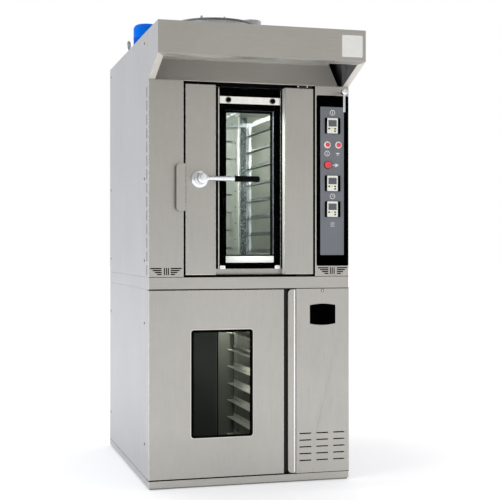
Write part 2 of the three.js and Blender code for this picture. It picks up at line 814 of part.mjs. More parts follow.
function addDoorSeal() {
  const y0 = doorDepth + 0.5;
  const seal = ringAlongY(mouthLeft - sealBand, mouthRight + sealBand, y0, chamberFront - 0.5,
    chamberBottom + mouthSill - sealBand, chamberTop - mouthSill + sealBand, sealBand);
  add('door_gasket', seal, sealRubber);
}

// ---- turning rack and its drive
function addRack() {
  const x0 = middleX - rackWidth / 2;
  const x1 = middleX + rackWidth / 2;
  const y0 = rackY - rackDepth / 2;
  const y1 = rackY + rackDepth / 2;
  const pieces = [];
  for (const [xa, xb, web] of [[x0, x0 + rackPost, x0], [x1 - rackPost, x1, x1 - railThick]]) {
    for (const [ya, yb, face] of [[y0, y0 + rackPost, y0], [y1 - rackPost, y1, y1 - railThick]]) {
      pieces.push(block(web, web + railThick, ya, yb, rackBottom, rackTop));
      pieces.push(block(xa, xb, face, face + railThick, rackBottom, rackTop));
    }
  }
  for (let level = 0; level < rackLevels; level += 1) {
    const z = firstLevel + level * levelPitch;
    pieces.push(block(x0, x0 + railShelf, y0, y1, z, z + railThick));
    pieces.push(block(x0, x0 + railThick, y0, y1, z, z + 20));
    pieces.push(block(x1 - railShelf, x1, y0, y1, z, z + railThick));
    pieces.push(block(x1 - railThick, x1, y0, y1, z, z + 20));
  }
  const head = rackTop - topBarHeight;
  const low = rackBottom + topBarHeight;
  for (const [z, top] of [[rackBottom, low], [head, rackTop]]) {
    pieces.push(block(x0, x1, y0, y0 + railThick, z, top));
    pieces.push(block(x0, x1, y1 - railThick, y1, z, top));
    pieces.push(block(x0, x0 + railThick, y0, y1, z, top));
    pieces.push(block(x1 - railThick, x1, y0, y1, z, top));
    pieces.push(block(middleX - 20, middleX + 20, y0, y1, z, z + 2 * railThick));
  }
  pieces.push(bar('z', rackShaftRadius + 9, head, rackTop, middleX, rackY));
  const socket = bar('z', rackShaftRadius + 0.5, head - 1, rackTop + 1, middleX, rackY);
  add('rack_frame', join(...pieces).subtract(socket), steelBright);
  const drumTop = roofTop + drumHeight;
  const shaft = bar('z', rackShaftRadius, head, drumTop - 20, middleX, rackY);
  const collar = bar('z', rackShaftRadius + 10, rackTop + 1, rackTop + 13, middleX, rackY);
  add('rack_shaft', join(shaft, collar), hardSteel);
}

// Straight-flanked teeth round a wheel; phase turns the first tooth.
function toothedWheel(teeth, phase) {
  const pitchRadius = gearModule * teeth / 2;
  const tip = pitchRadius + 0.9 * gearModule;
  const root = pitchRadius - 1.15 * gearModule;
  const thick = Math.PI * gearModule / 2 - backlash / 2;
  const half = thick / 2 / pitchRadius;
  const lean = 0.36 * gearModule / pitchRadius;
  const points = [];
  for (let tooth = 0; tooth < teeth; tooth += 1) {
    const at = phase + tooth * 2 * Math.PI / teeth;
    const angles = [at - half - lean, at - half + lean, at + half - lean, at + half + lean];
    const radii = [root, tip, tip, root];
    angles.forEach((angle, index) => {
      points.push([radii[index] * Math.cos(angle), radii[index] * Math.sin(angle)]);
    });
  }
  return points;
}

function addDrive() {
  const z0 = roofTop + 30;
  const z1 = z0 + gearThick;
  const drive = new THREE.Group();
  drive.position.set(middleX, rackY, 0);
  cabinet.add(drive);
  const wheel = alongZ(toothedWheel(gearTeeth, Math.PI), z0, z1);
  const hub = bar('z', rackShaftRadius + 14, z0 - 10, z0 + 1, 0, 0);
  const bore = bar('z', rackShaftRadius + 0.4, z0 - 11, z1 + 1, 0, 0);
  add('drive_gear', cut(join(wheel, hub), bore), hardSteel, drive);

  const pinion = new THREE.Group();
  pinion.position.set(pinionX, rackY, 0);
  cabinet.add(pinion);
  const small = alongZ(toothedWheel(pinionTeeth, Math.PI / pinionTeeth), z0 - 3, z1 + 3);
  const motorTop = roofUnder - 30;
  const shaft = bar('z', pinionShaftRadius, motorTop - 60, z1 + 12, 0, 0);
  add('drive_pinion', join(small, shaft), hardSteel, pinion);

  const can = bar('z', gearMotorRadius, motorTop - gearMotorHeight, motorTop, pinionX, rackY);
  const neck = bar('z', 30, motorTop - 1, roofUnder - seam, pinionX, rackY);
  const motorBore = bar('z', pinionShaftRadius + 0.8, motorTop - 62, roofTop, pinionX, rackY);
  add('drive_motor', cut(join(can, neck), motorBore), motorBlue);

  const drumX = middleX + drumShiftX;
  const drumY = rackY + drumShiftY;
  const top = roofTop + drumHeight;
  const drum = bar('z', drumRadius, roofTop + seam, top, drumX, drumY, 48);
  const lid = bar('z', drumRadius + drumLidOver, top - 5, top, drumX, drumY, 48);
  const hollow = bar('z', drumRadius - sheet, roofTop, top - plate, drumX, drumY, 48);
  add('drive_housing', cut(join(drum, lid), hollow), galvanised);
}

function addFan() {
  const fan = new THREE.Group();
  fan.position.set(fanX, fanY, 0);
  cabinet.add(fan);
  const top = chamberTop - 14;
  const bottom = top - fanHeight;
  const disc = bar('z', fanRadius, top - plate, top, 0, 0, 32);
  const hub = bar('z', fanShaftRadius + 12, bottom, top, 0, 0);
  const shaft = bar('z', fanShaftRadius, bottom, roofTop + 50, 0, 0);
  const blades = [];
  for (let index = 0; index < fanBlades; index += 1) {
    const blade = new THREE.BoxGeometry(fanRadius - 30, plate, fanHeight - 2);
    blade.rotateZ(0.5);
    blade.translate((fanRadius + 22) / 2, 0, (top + bottom) / 2);
    blade.rotateZ(index * 2 * Math.PI / fanBlades);
    blades.push(solidOf(blade));
  }
  add('fan_impeller', join(disc, hub, shaft, ...blades), steelInner, fan);

  const foot = roofTop + seam;
  const profile = [[0, foot], [fanMotorRadius + 12, foot], [fanMotorRadius + 12, foot + 8],
    [fanMotorRadius, foot + 8]];
  const shoulder = 26;
  const crown = foot + fanMotorHeight;
  for (let step = 0; step <= 4; step += 1) {
    const angle = step * Math.PI / 8;
    profile.push([fanMotorRadius - shoulder + shoulder * Math.cos(angle),
      crown - shoulder + shoulder * Math.sin(angle)]);
  }
  profile.push([0, crown]);
  const body = new THREE.LatheGeometry(profile.map(([r, z]) => new THREE.Vector2(r, z)), 28);
  body.rotateX(Math.PI / 2);
  const bore = bar('z', fanShaftRadius + 1.2, roofTop, roofTop + 56, 0, 0);
  add('fan_motor', cut(solidOf(body), bore), motorBlue, fan);
}

// ---- flue, damper flap and its lever
const flapZ = chamberTop + flapRise;
const crankY = flueY - flueRadius - damperCrankSetback;

function crankArm(x, z, y0, y1) {
  const arm = block(x - 7, x + 7, y0, y1, z, z + damperCrank);
  const eye = bar('y', 10, y0, y1, x, z, 24);
  const tip = bar('y', 7, y0, y1, x, z + damperCrank, 20);
  const pin = bar('y', 4, y0, y1 + 6, x, z + damperCrank, 16);
  return join(arm, eye, tip, pin);
}

function addFlue() {
  const foot = chamberTop + sheet + seam;
  const pipe = bar('z', flueRadius, foot, roofTop + flueAboveRoof, flueX, flueY, 36);
  const inside = bar('z', flueRadius - sheet, foot - 1, roofTop + flueAboveRoof + 1, flueX, flueY,
    36);
  const shaftBore = bar('y', damperShaftRadius + 0.6, flueY - flueRadius - 5,
    flueY + flueRadius + 5, flueX, flapZ, 20);
  const collar = bar('z', flueRadius + 18, roofTop + seam, roofTop + seam + plate, flueX, flueY, 36);
  add('flue_pipe', cut(join(pipe, collar), inside, shaftBore), steelBright);

  const plateRadius = flueRadius - sheet - flapPlay;
  const flap = bar('z', plateRadius, flapZ - 1, flapZ + 1, flueX, flueY, 36);
  const shaft = bar('y', damperShaftRadius, crankY, flueY + flueRadius + 8, flueX, flapZ, 20);
  const crank = crankArm(flueX, flapZ, crankY, crankY + 5);
  add('damper_flap', join(flap, shaft, crank), hardSteel);
}

function addDamperLever() {
  const y0 = -damperLeverReach;
  const boss = bar('y', damperBossRadius, y0, y0 + 24, damperX, damperZ);
  const shaft = bar('y', damperShaftRadius, y0, crankY + 5, damperX, damperZ, 20);
  const rod = bar('z', damperRodRadius, damperZ - damperRodLength, damperZ, damperX, y0 + 12, 20);
  const crank = crankArm(damperX, damperZ, crankY, crankY + 5);
  add('damper_lever', join(boss, shaft, rod, crank), steelBright);

  const from = [damperX, damperZ + damperCrank];
  const to = [flueX, flapZ + damperCrank];
  const y = crankY + 5.5;
  const thick = 4;
  const length = Math.hypot(from[0] - to[0], from[1] - to[1]);
  const web = new THREE.BoxGeometry(length, thick, 12);
  web.rotateY(-Math.atan2(from[1] - to[1], from[0] - to[0]));
  web.translate((from[0] + to[0]) / 2, y + thick / 2, (from[1] + to[1]) / 2);
  const eyes = [from, to].map(([x, z]) => bar('y', 9, y, y + thick, x, z, 24));
  const snug = bar('y', 4.4, y - 1, y + thick + 1, from[0], from[1], 16);
  const loose = bar('y', 5, y - 1, y + thick + 1, to[0], to[1], 16);
  add('damper_link', cut(join(solidOf(web), ...eyes), snug, loose), hardSteel);
}

// ---- oven door
function addDoorShell() {
  const floor = doorBottom;
  const back = doorShellDepth;
  const left = tray(doorLeft, recessLeft, 0, back, floor, doorTop, '+y');
  const right = tray(recessRight, doorRight, 0, back, floor, doorTop, '+y');
  const webFront = doorRecess + glassThick + 0.8;
  const web = block(recessLeft - 1, recessRight + 1, webFront, back, floor, doorTop);
  const rail = block(recessLeft - 1, recessRight + 1, doorRecess, back, floor, floor + railHeight);
  const window = block(windowLeft, windowRight, 0, back + 1, windowBottom, windowTop);
  const latchSlot = block(doorLeft - 1, doorLeft + sheet + 1, latchSetback - 3,
    latchSetback + latchThick + 3, leverZ - 16, leverZ + 58);
  const spindle = bar('y', 11, -1, sheet + 1, leverX, leverZ, 24);
  const pins = [
    bar('z', 6.6, floor - 1, floor + sheet + 1, hingeX, hingeSetback, 20),
    bar('z', 6.6, doorTop - sheet - 1, doorTop + 1, hingeX, hingeSetback, 20),
  ];
  add('oven_door_shell', cut(join(left, right, web, rail), window, latchSlot, spindle, ...pins),
    steelFront);
  const linerBack = doorDepth;
  const pan = tray(doorLeft + linerInset, hingeX - linerHingeClear, back + seam, linerBack,
    floor + linerInset, doorTop - linerInset, '-y');
  const neck = block(windowLeft - 4, windowRight + 4, back + seam, linerBack, windowBottom - 4,
    windowTop + 4);
  const view = block(windowLeft, windowRight, back - 1, linerBack + 1, windowBottom, windowTop);
  add('oven_door_liner', cut(join(pan, neck), view), steelInner);
}

function addDoorGlass() {
  const pane = block(glassLeft, glassRight, doorRecess, doorRecess + glassThick,
    glassBottom + 1, doorTop - 2);
  const barTop = doorTop - barDrop;
  const knobZ = barTop - barHeight / 2;
  const knobXs = [glassLeft + knobInset, glassRight - knobInset + 2];
  const y1 = doorRecess - 0.4;
  const studs = knobXs.map((x) => bar('y', 4, y1 - barThick - 8, y1 - 0.4, x, knobZ, 16));
  add('door_glass', pane, clearGlass);
  const header = block(glassLeft, glassRight, y1 - barThick, y1, barTop - barHeight, barTop);
  const wide = knobXs.map((x) => bar('y', 4.4, y1 - barThick - 1, y1 + 1, x, knobZ, 16));
  add('glass_header_bar', cut(header, ...wide), steelBright);
  ['left', 'right'].forEach((side, index) => {
    const x = knobXs[index];
    const head = bar('y', knobRadius, y1 - barThick - 0.5 - knobReach, y1 - barThick - 0.5, x,
      knobZ, 24);
    add(`glass_knob_${side}`, join(head, studs[index]), blackPlastic);
  });
}

function addDoorLever() {
  const pivot = new THREE.Group();
  pivot.position.set(leverX, 0, leverZ);
  cabinet.add(pivot);
  const rosette = bar('y', rosetteRadius, -8, -0.5, 0, 0, 48);
  const boss = bar('y', bossRadius, -bossReach, -7, 0, 0, 40);
  const spindle = bar('y', 10, -8, latchSetback + latchThick, 0, 0, 24);
  const latch = block(-latchReach, 0, latchSetback, latchSetback + latchThick, -12, 12);
  const rodY = -bossReach + 16;
  const tube = bar('x', rodRadius, 0, bossRadius + rodLength - 25, rodY, 0, 24);
  const tang = bar('x', 6, bossRadius + rodLength - 30, bossRadius + rodLength + 40, rodY, 0, 20);
  add('door_lever', join(rosette, boss, spindle, latch, tube, tang), steelBright, pivot);
  const gripFrom = bossRadius + rodLength - 24.5;
  const grip = bar('x', gripRadius, gripFrom, gripFrom + gripLength, rodY, 0, 28);
  const socket = bar('x', 6.4, gripFrom - 1, bossRadius + rodLength + 41, rodY, 0, 20);
  add('lever_grip', cut(grip, socket), blackPlastic, pivot);
}

function addKeeper() {
  const z1 = leverZ + 71;
  const z0 = z1 - keeperHeight;
  const x1 = leftPillarWidth + keeperOverhang;
  const x0 = x1 - keeperWidth;
  const face = alongY(roundedOutline(x0, x1, z0, z1, keeperRadius, false), -keeperProud,
    -keeperProud + plate);
  const stand = alongY(roundedOutline(x0 + 10, x1 - 5, z0 + 8, z1 - 8, keeperRadius - 8, false),
    -keeperProud + 1, -0.5);
  add('keeper_cover', join(face, stand), steelFront);
}

function addOvenHinges() {
  const leaf = (z0, z1) => block(hingeX - 55, hingeX + 10, 6, 60, z0, z1);
  const pin = (z0, z1) => bar('z', 6, z0, z1, hingeX, hingeSetback, 20);
  const upper = join(leaf(doorTop + 3, openingTop - 1.5), pin(doorTop - 12, doorTop + 4));
  add('oven_hinge_upper', upper, hardSteel);
  const lower = join(leaf(sillTop + sheet + seam, doorBottom - 1),
    pin(doorBottom - 2, doorBottom + 12));
  add('oven_hinge_lower', lower, hardSteel);
}

// ---- control panel
function addControls() {
  const x0 = width - panelMargin - panelWidth;
  const z0 = deckTop + panelBottom;
  const z1 = z0 + panelHeight;
  const y1 = -0.5;
  const y0 = y1 - panelThick;
  const outline = roundedOutline(x0, x0 + panelWidth, z0, z1, panelCornerRadius);
  const buttons = [
    ['button_start', leftButtonInset, upperButtonDrop, buttonRadius],
    ['button_light', rightButtonInset, upperButtonDrop, buttonRadius],
    ['button_stop', leftButtonInset, stopButtonDrop, stopButtonRadius],
  ];
  const stem = 8;
  const holes = buttons.map(([, inset, drop]) =>
    bar('y', stem + 0.6, y0 - 1, y1 + 1, x0 + inset, z1 - drop, 20));
  add('control_panel', cut(alongY(outline, y0, y1), ...holes), blackPlastic);
  for (const [name, inset, drop, radius] of buttons) {
    const button = new THREE.Group();
    button.position.set(x0 + inset, 0, z1 - drop);
    cabinet.add(button);
    const head = bar('y', radius, y0 - buttonTravel - 0.6 - buttonProud,
      y0 - buttonTravel - 0.6, 0, 0, 24);
    const shank = bar('y', stem, y0 - buttonTravel - 1, sheet + 14, 0, 0, 20);
    const stop = bar('y', stem + 4, y1 + 0.5, sheet + 3, 0, 0, 20);
    add(name, join(head, shank, stop), redPlastic, button);
  }
  controllerDrops.forEach((drop, index) => {
    const backing = block(0, controllerWidth, y0 - 0.5 - controllerProud / 2, y0 - 0.5, 0,
      controllerHeight);
    const bezel = block(12, controllerWidth - 10, y0 - 0.5 - controllerProud,
      y0 - 1 - controllerProud / 3, 3, controllerHeight - 3);
    const mesh = add(`controller_${index + 1}`, join(backing, bezel), whitePlastic);
    mesh.position.set(x0 + controllerInset, 0, z1 - drop);
  });
}

addPlinth();
addFeet();
addProoferCabinet();
addServicePanel();
addDeck();
addTraySlides();
addProoferDoor();
addOvenSides();
addRoof();
addPillars();
addHood();
addChamber();
addDiffuser();
addHeater();
addDoorSeal();
addRack();
addDrive();
addFan();
addFlue();
addDamperLever();
addDoorShell();
addDoorGlass();
addDoorLever();
addKeeper();
addOvenHinges();
addControls();

export default oven;
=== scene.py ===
"""Rotating rack oven on a proofer cabinet: finishes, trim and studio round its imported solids.

Places are in millimetres from the front left corner of the cabinet, on the floor: X to the
right, Y towards the back from the face of the doors, Z up.
"""

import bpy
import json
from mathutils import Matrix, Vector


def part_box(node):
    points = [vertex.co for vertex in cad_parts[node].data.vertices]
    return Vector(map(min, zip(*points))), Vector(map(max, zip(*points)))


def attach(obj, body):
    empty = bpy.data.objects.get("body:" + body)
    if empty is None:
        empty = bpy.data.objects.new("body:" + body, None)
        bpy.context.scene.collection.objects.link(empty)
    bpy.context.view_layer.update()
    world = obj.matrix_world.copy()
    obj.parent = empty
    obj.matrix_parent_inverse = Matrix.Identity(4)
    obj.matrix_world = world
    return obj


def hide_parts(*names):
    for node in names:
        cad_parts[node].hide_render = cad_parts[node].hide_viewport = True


bl_info = {
    "name": "Rotating rack oven",
    "version": (1, 0, 0),
    "blender": (4, 5, 0),
    "location": "3D View > Sidebar > Rack oven",
    "description": "Builds the finishes and trim of a rotating rack oven on a proofer cabinet",
    "category": "Object",
}

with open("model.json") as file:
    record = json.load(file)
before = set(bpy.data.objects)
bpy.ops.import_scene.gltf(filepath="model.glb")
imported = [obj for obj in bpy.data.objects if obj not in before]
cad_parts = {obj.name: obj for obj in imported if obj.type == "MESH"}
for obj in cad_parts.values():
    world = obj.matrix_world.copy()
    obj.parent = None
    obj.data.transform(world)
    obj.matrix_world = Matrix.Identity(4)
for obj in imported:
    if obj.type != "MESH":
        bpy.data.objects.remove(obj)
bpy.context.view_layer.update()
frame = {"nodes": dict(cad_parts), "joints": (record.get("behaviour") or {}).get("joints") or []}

import json
import math

import bmesh
import bpy
from bpy.props import FloatProperty, FloatVectorProperty, PointerProperty
from mathutils import Vector

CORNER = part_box("middle_deck")[0]
MM = 0.001


# ---------------------------------------------------------------- places and colours
def place(x, y, z):
    """A point of the cabinet, in metres in the row frame."""
    return Vector((CORNER.x + x * MM, CORNER.y + y * MM, z * MM))


def reach(node):
    """The box of a CAD node in cabinet millimetres: x0, x1, y0, y1, z0, z1."""
    low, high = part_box(node)
    return [value for axis, start in enumerate((CORNER.x, CORNER.y, 0.0))
            for value in ((low[axis] - start) / MM, (high[axis] - start) / MM)]


def colour(red, green, blue):
    """A colour written as a screen shows it, from 0 to 255, as Blender's linear values."""
    linear = [(c / 255 / 12.92) if c <= 10 else ((c / 255 + 0.055) / 1.055) ** 2.4
              for c in (red, green, blue)]
    return (*linear, 1.0)


def mean(a, b, share=0.5):
    """The number at that share of the way from a to b."""
    return a + (b - a) * share


def middle(node):
    """The middle of a CAD node's box: x, y, z."""
    x0, x1, y0, y1, z0, z1 = reach(node)
    return mean(x0, x1), mean(y0, y1), mean(z0, z1)


def joint_at(name):
    """The place of a joint, in cabinet millimetres."""
    x, y, z = next(joint["pos_m"] for joint in frame["joints"] if joint["name"] == name)
    return (x - CORNER.x) / MM, (y - CORNER.y) / MM, z / MM


WIDTH = reach("middle_deck")[1]
DEPTH = reach("middle_deck")[3]
ROOF = reach("oven_roof")[5]


# ---------------------------------------------------------------- settings
class OvenColours(bpy.types.PropertyGroup):
    """Colours that a user would change."""

    steel: FloatVectorProperty(
        name="Steel", description="Reflection colour of the satin steel casings",
        subtype="COLOR", size=4, min=0, max=1, default=(0.478, 0.466, 0.435, 1))
    motor: FloatVectorProperty(
        name="Motor paint", description="Paint of the fan motor on the roof",
        subtype="COLOR", size=4, min=0, max=1, default=colour(0, 112, 232))
    membrane: FloatVectorProperty(
        name="Panel membrane", description="Grey field of the control panel",
        subtype="COLOR", size=4, min=0, max=1, default=colour(130, 133, 139))
    buttons: FloatVectorProperty(
        name="Push buttons", description="Moulded plastic of the push buttons",
        subtype="COLOR", size=4, min=0, max=1, default=colour(255, 72, 84))


class OvenSizes(bpy.types.PropertyGroup):
    """Sizes of the trim that a user would change."""

    edge: FloatProperty(
        name="Fold rounding", description="Rounding of the folds round the front sheets",
        unit="LENGTH", default=3.0 * MM, min=0.5 * MM, max=4 * MM)
    burr: FloatProperty(
        name="Edge rounding", description="Rounding of the other sheet metal edges",
        unit="LENGTH", default=0.7 * MM, min=0.1 * MM, max=2 * MM)
    screw: FloatProperty(
        name="Screw head", description="Radius of the casing screw heads",
        unit="LENGTH", default=6.5 * MM, min=2 * MM, max=12 * MM)
    bar: FloatProperty(
        name="Lever bar", description="Radius of the round bar of the door lever",
        unit="LENGTH", default=10 * MM, min=6 * MM, max=13 * MM)
    ring: FloatProperty(
        name="Button ring", description="Radius of the light rings round the push buttons",
        unit="LENGTH", default=17 * MM, min=12 * MM, max=24 * MM)
    badge: FloatProperty(
        name="Hood plate", description="Side of the bare square plate on the hood",
        unit="LENGTH", default=103 * MM, min=40 * MM, max=130 * MM)


class OvenStudio(bpy.types.PropertyGroup):
    """Levels of the studio."""

    front_level: FloatProperty(
        name="Front of the studio", description="Brightness that steel mirrors from the front",
        default=0.42, min=0, max=2)
    strip_level: FloatProperty(
        name="Front strip light", description="Brightness of the tall strip light in front",
        default=1.0, min=0, max=2)
    left_level: FloatProperty(
        name="Left of the studio", description="Brightness that steel mirrors from the left",
        default=1.0, min=0, max=2)
    lamp: FloatProperty(
        name="Left lamp", description="Power of the large soft lamp on the left",
        unit="POWER", default=70, min=0, max=1000)
    chamber: FloatProperty(
        name="Chamber lamp", description="Power of the lamp in the baking chamber",
        unit="POWER", default=13, min=0, max=200)
    cabinet: FloatProperty(
        name="Proofer lamp", description="Power of the lamp in the proofer cabinet",
        unit="POWER", default=0.45, min=0, max=200)


def settings():
    return bpy.context.scene.rack_oven


class OvenSettings(bpy.types.PropertyGroup):
    """Everything that the panel shows."""

    colours: PointerProperty(type=OvenColours)
    sizes: PointerProperty(type=OvenSizes)
    studio: PointerProperty(type=OvenStudio)


# ---------------------------------------------------------------- finishes
def add_node(tree, kind, inputs=(), **properties):
    """A shader node. Each input, by name or number, is a value or the socket wired to it."""
    made = tree.nodes.new(kind)
    for key, value in properties.items():
        setattr(made, key, value)
    for key, value in dict(inputs).items():
        if isinstance(value, bpy.types.NodeSocket):
            tree.links.new(value, made.inputs[key])
        else:
            made.inputs[key].default_value = value
    return made


def mixed(tree, share, first, second, blend="MIX"):
    """The colour between two colours, at that share."""
    mix = add_node(tree, "ShaderNodeMix", {0: share, 6: first, 7: second}, data_type="RGBA",
                   blend_type=blend)
    return mix.outputs[2]


def worked_out(tree, operation, first, second=0.0):
    """The result of one operation on two numbers."""
    made = add_node(tree, "ShaderNodeMath", {0: first, 1: second}, operation=operation)
    return made.outputs[0]


def ranged(tree, value, start, stop, low, high, curve="LINEAR"):
    """A number carried from one range to another, and held at the ends."""
    made = add_node(tree, "ShaderNodeMapRange", {
        "Value": value, "From Min": start, "From Max": stop, "To Min": low, "To Max": high},
        interpolation_type=curve)
    return made.outputs[0]


def on_rays(tree, *kinds):
    """1 on rays of any of those kinds, as the Light Path node names them, and 0 on others."""
    path = tree.nodes.new("ShaderNodeLightPath")
    found = path.outputs[kinds[0]]
    for kind in kinds[1:]:
        found = worked_out(tree, "MAXIMUM", found, path.outputs[kind])
    return found


class Finish:
    """A procedural material on one Principled shader, built up in layers."""

    def __init__(self, name, base, roughness, metallic=0.0, **uniform):
        self.material = bpy.data.materials.new(name)
        self.material.use_nodes = True
        self.tree = self.material.node_tree
        self.shader = self.tree.nodes["Principled BSDF"]
        self.colour = tuple(base)
        self.set("Base Color", self.colour)
        self.set("Roughness", roughness)
        self.set("Metallic", metallic)
        for socket, value in uniform.items():
            self.set(socket.replace("_", " "), value)
        self.point = self.tree.nodes.new("ShaderNodeTexCoord").outputs["Object"]

    def set(self, socket, value):
        self.shader.inputs[socket].default_value = value

    def join(self, source, socket):
        self.tree.links.new(source, self.shader.inputs[socket])
        return self

    def noise(self, size, stretch=(1, 1, 1), detail=3.0, kind="noise"):
        """A noise with blotches of that size in millimetres, longer where stretch is above 1."""
        scale = [1 / (size * MM * s) for s in stretch]
        spread = add_node(self.tree, "ShaderNodeMapping", {"Vector": self.point, "Scale": scale})
        inputs = {"Vector": spread.outputs[0], "Scale": 1.0}
        if kind == "cells":
            return add_node(self.tree, "ShaderNodeTexVoronoi", inputs).outputs["Color"]
        return add_node(self.tree, "ShaderNodeTexNoise", {**inputs, "Detail": detail}).outputs[0]

    def wander(self, low, high, *blotches):
        """A number that wanders between low and high over the surface."""
        return ranged(self.tree, self.noise(*blotches), 0.3, 0.7, low, high)

    def layer(self, share, other, blend="MIX"):
        """Another colour over the colour so far."""
        self.colour = mixed(self.tree, share, self.colour, other, blend)
        return self.join(self.colour, "Base Color")

    def tone(self, amount, size, stretch=(1, 1, 1), detail=3.0, kind="noise"):
        """The colour gets lighter and darker by that share, in blotches of that size."""
        shade = self.wander(1 - amount, 1 + amount, size, stretch, detail, kind)
        return self.layer(1.0, shade, "MULTIPLY")

    def specks(self, other, size, share):
        """Spots of another colour over about that share of the surface."""
        spots = self.noise(size, (1, 1, 1), 2.0)
        return self.layer(ranged(self.tree, spots, 0.62 - share, 0.68 - share, 0, 1), other)

    def gloss(self, low, high, size, stretch=(1, 1, 1)):
        """Roughness that wanders between low and high."""
        return self.join(self.wander(low, high, size, stretch), "Roughness")

    def relief(self, height, size, stretch=(1, 1, 1), detail=3.0, kind="noise"):
        """Bumps of that height and size, in millimetres."""
        bump = add_node(self.tree, "ShaderNodeBump", {
            "Strength": 1.0, "Distance": height * MM,
            "Height": self.noise(size, stretch, detail, kind)})
        return self.join(bump.outputs[0], "Normal")

    def lets_lamps_through(self):
        """Glass: lamps shine through it as through a clear pane."""
        clear = add_node(self.tree, "ShaderNodeBsdfTransparent", {"Color": (0.93, 0.95, 0.94, 1)})
        mix = add_node(self.tree, "ShaderNodeMixShader", {
            0: on_rays(self.tree, "Is Shadow Ray"), 1: self.shader.outputs[0],
            2: clear.outputs[0]})
        self.tree.links.new(mix.outputs[0], self.tree.nodes["Material Output"].inputs["Surface"])
        return self


def brushed(name, base, roughness, along, depth=0.004, metallic=1.0):
    """Satin sheet steel, with its grain along that axis, faint blotches and handling marks."""
    grain = {"x": (60, 1, 1), "y": (1, 60, 1), "z": (1, 1, 60)}[along]
    made = Finish(name, base, roughness, metallic)
    made.tone(0.035, 1.6, grain, 2.0).tone(0.03, 420, (1, 1, 1), 2.0)
    made.tone(0.015, 26, (1, 1, 1), 4.0)
    made.gloss(roughness - 0.05, roughness + 0.07, 3, grain)
    return made.relief(depth, 0.9, grain, 2.0)


def scaled(base, level):
    return (*[min(1.0, channel * level) for channel in base[:3]], 1.0)


def casing_steel():
    return brushed("satin_steel_upright", settings().colours.steel, 0.36, "z")


def casing_steel_level():
    return brushed("satin_steel_level", settings().colours.steel, 0.36, "x")


# Brighter, glossier steel for the rounded folds: a painted highlight along the edges.
def painted_highlight_edge():
    made = Finish("painted_highlight_steel_edge", scaled(settings().colours.steel, 1.25), 0.25, 1.0)
    return made.tone(0.12, 14, (1, 1, 1), 4.0).gloss(0.16, 0.34, 9)


# The cool steel of the side panels. On the flanks of the stainless front sheets it is painted
# light: a cooler, side-lit copy of their steel.
def side_steel():
    return brushed("side_panel_and_side_lit_steel", (0.46, 0.462, 0.478, 1), 0.4, "z")


def recess_steel():
    """The matt walls of the glass recess, lit from the left."""
    made = Finish("recess_wall_steel", (0.49, 0.48, 0.455, 1), 0.6)
    return made.tone(0.02, 1.6, (1, 1, 60)).gloss(0.5, 0.7, 3, (1, 1, 60)).relief(0.004, 0.9)


def baffle_steel():
    return brushed("hood_baffle_steel", (1.0, 0.95, 0.87, 1), 0.6, "x", metallic=0.35)


def lip_steel():
    """Pale folded lips with a painted highlight: round the mouth of the hood, where they paint the
    floor's reflection, and round the window of the proofer.
    """
    return brushed("pale_lip_painted_highlight", (0.84, 0.81, 0.75, 1), 0.5, "x", metallic=0.4)


def brow_steel():
    """The long lip under the fascia, streaked lighter and darker along its length."""
    made = brushed("hood_brow_steel", (0.42, 0.407, 0.382, 1), 0.5, "x", metallic=0.4)
    return made.tone(0.45, 26, (9, 1, 1), 2.0)


def shaded_steel():
    """Dark steel painted as the shade deep in a finger groove."""
    return brushed("groove_painted_shade", (0.09, 0.085, 0.075, 1), 0.6, "z")


def inner_steel():
    made = brushed("chamber_steel", (0.72, 0.74, 0.69, 1), 0.34, "z")
    return made.tone(0.08, 130, (1, 1, 2), 5.0)


def proofer_steel():
    made = brushed("proofer_steel", (0.2, 0.207, 0.18, 1), 0.5, "z", metallic=0.5)
    return made.tone(0.08, 160, (1, 1, 2), 4.0)


def duct_steel():
    """The duct across the back of the proofer, in dark steel that paints the shade there."""
    made = brushed("duct_steel", (0.1, 0.105, 0.093, 1), 0.55, "z", metallic=0.5)
    return made.tone(0.1, 120, (1, 1, 2), 4.0)


def slide_steel():
    made = brushed("slide_steel", (0.9, 0.9, 0.8, 1), 0.5, "y", metallic=0.1)
    return made.tone(0.1, 40, (1, 3, 1), 4.0)


def rail_steel():
    made = brushed("rail_steel", (0.085, 0.09, 0.09, 1), 0.5, "y", metallic=0.5)
    return made.tone(0.12, 30, (1, 3, 1), 4.0)


def reveal_painted_shade():
    """Dull slate-grey paint on the steel round the window of the door: painted shade."""
    made = Finish("reveal_painted_shade", colour(58, 61, 68), 0.7, Specular_IOR_Level=0.02)
    return made.tone(0.15, 30, (1, 1, 5)).gloss(0.6, 0.8, 5)


def vent_steel():
    """The pierced strip beside the air duct: dark, with pale specks painted on as the glints of
    its burrs.
    """
    made = Finish("pierced_steel", (0.2, 0.225, 0.245, 1), 0.4, 1.0)
    made.tone(0.35, 9, kind="cells").specks((0.75, 0.78, 0.8, 1), 7, 0.02)
    return made.gloss(0.3, 0.5, 5).relief(0.3, 6, kind="cells")


def bright_steel():
    made = Finish("bright_steel", (0.86, 0.885, 0.91, 1), 0.26, 1.0)
    return made.tone(0.03, 30).gloss(0.2, 0.32, 5, (1, 1, 12)).relief(0.002, 1.2)


def polished_trim():
    made = Finish("polished_trim", (0.97, 0.96, 0.94, 1), 0.22, 1.0)
    return made.tone(0.03, 50, (1, 1, 6)).gloss(0.18, 0.3, 4, (1, 1, 30))


def galvanised_steel():
    made = Finish("galvanised_steel", (0.45, 0.475, 0.5, 1), 0.42, 1.0)
    made.tone(0.1, 7, kind="cells").tone(0.05, 160)
    return made.gloss(0.34, 0.5, 9).relief(0.006, 7, kind="cells")


def machine_steel():
    made = Finish("turned_steel", (0.42, 0.43, 0.44, 1), 0.3, 1.0)
    return made.tone(0.1, 24).gloss(0.22, 0.42, 3).relief(0.01, 0.8, (30, 30, 1))


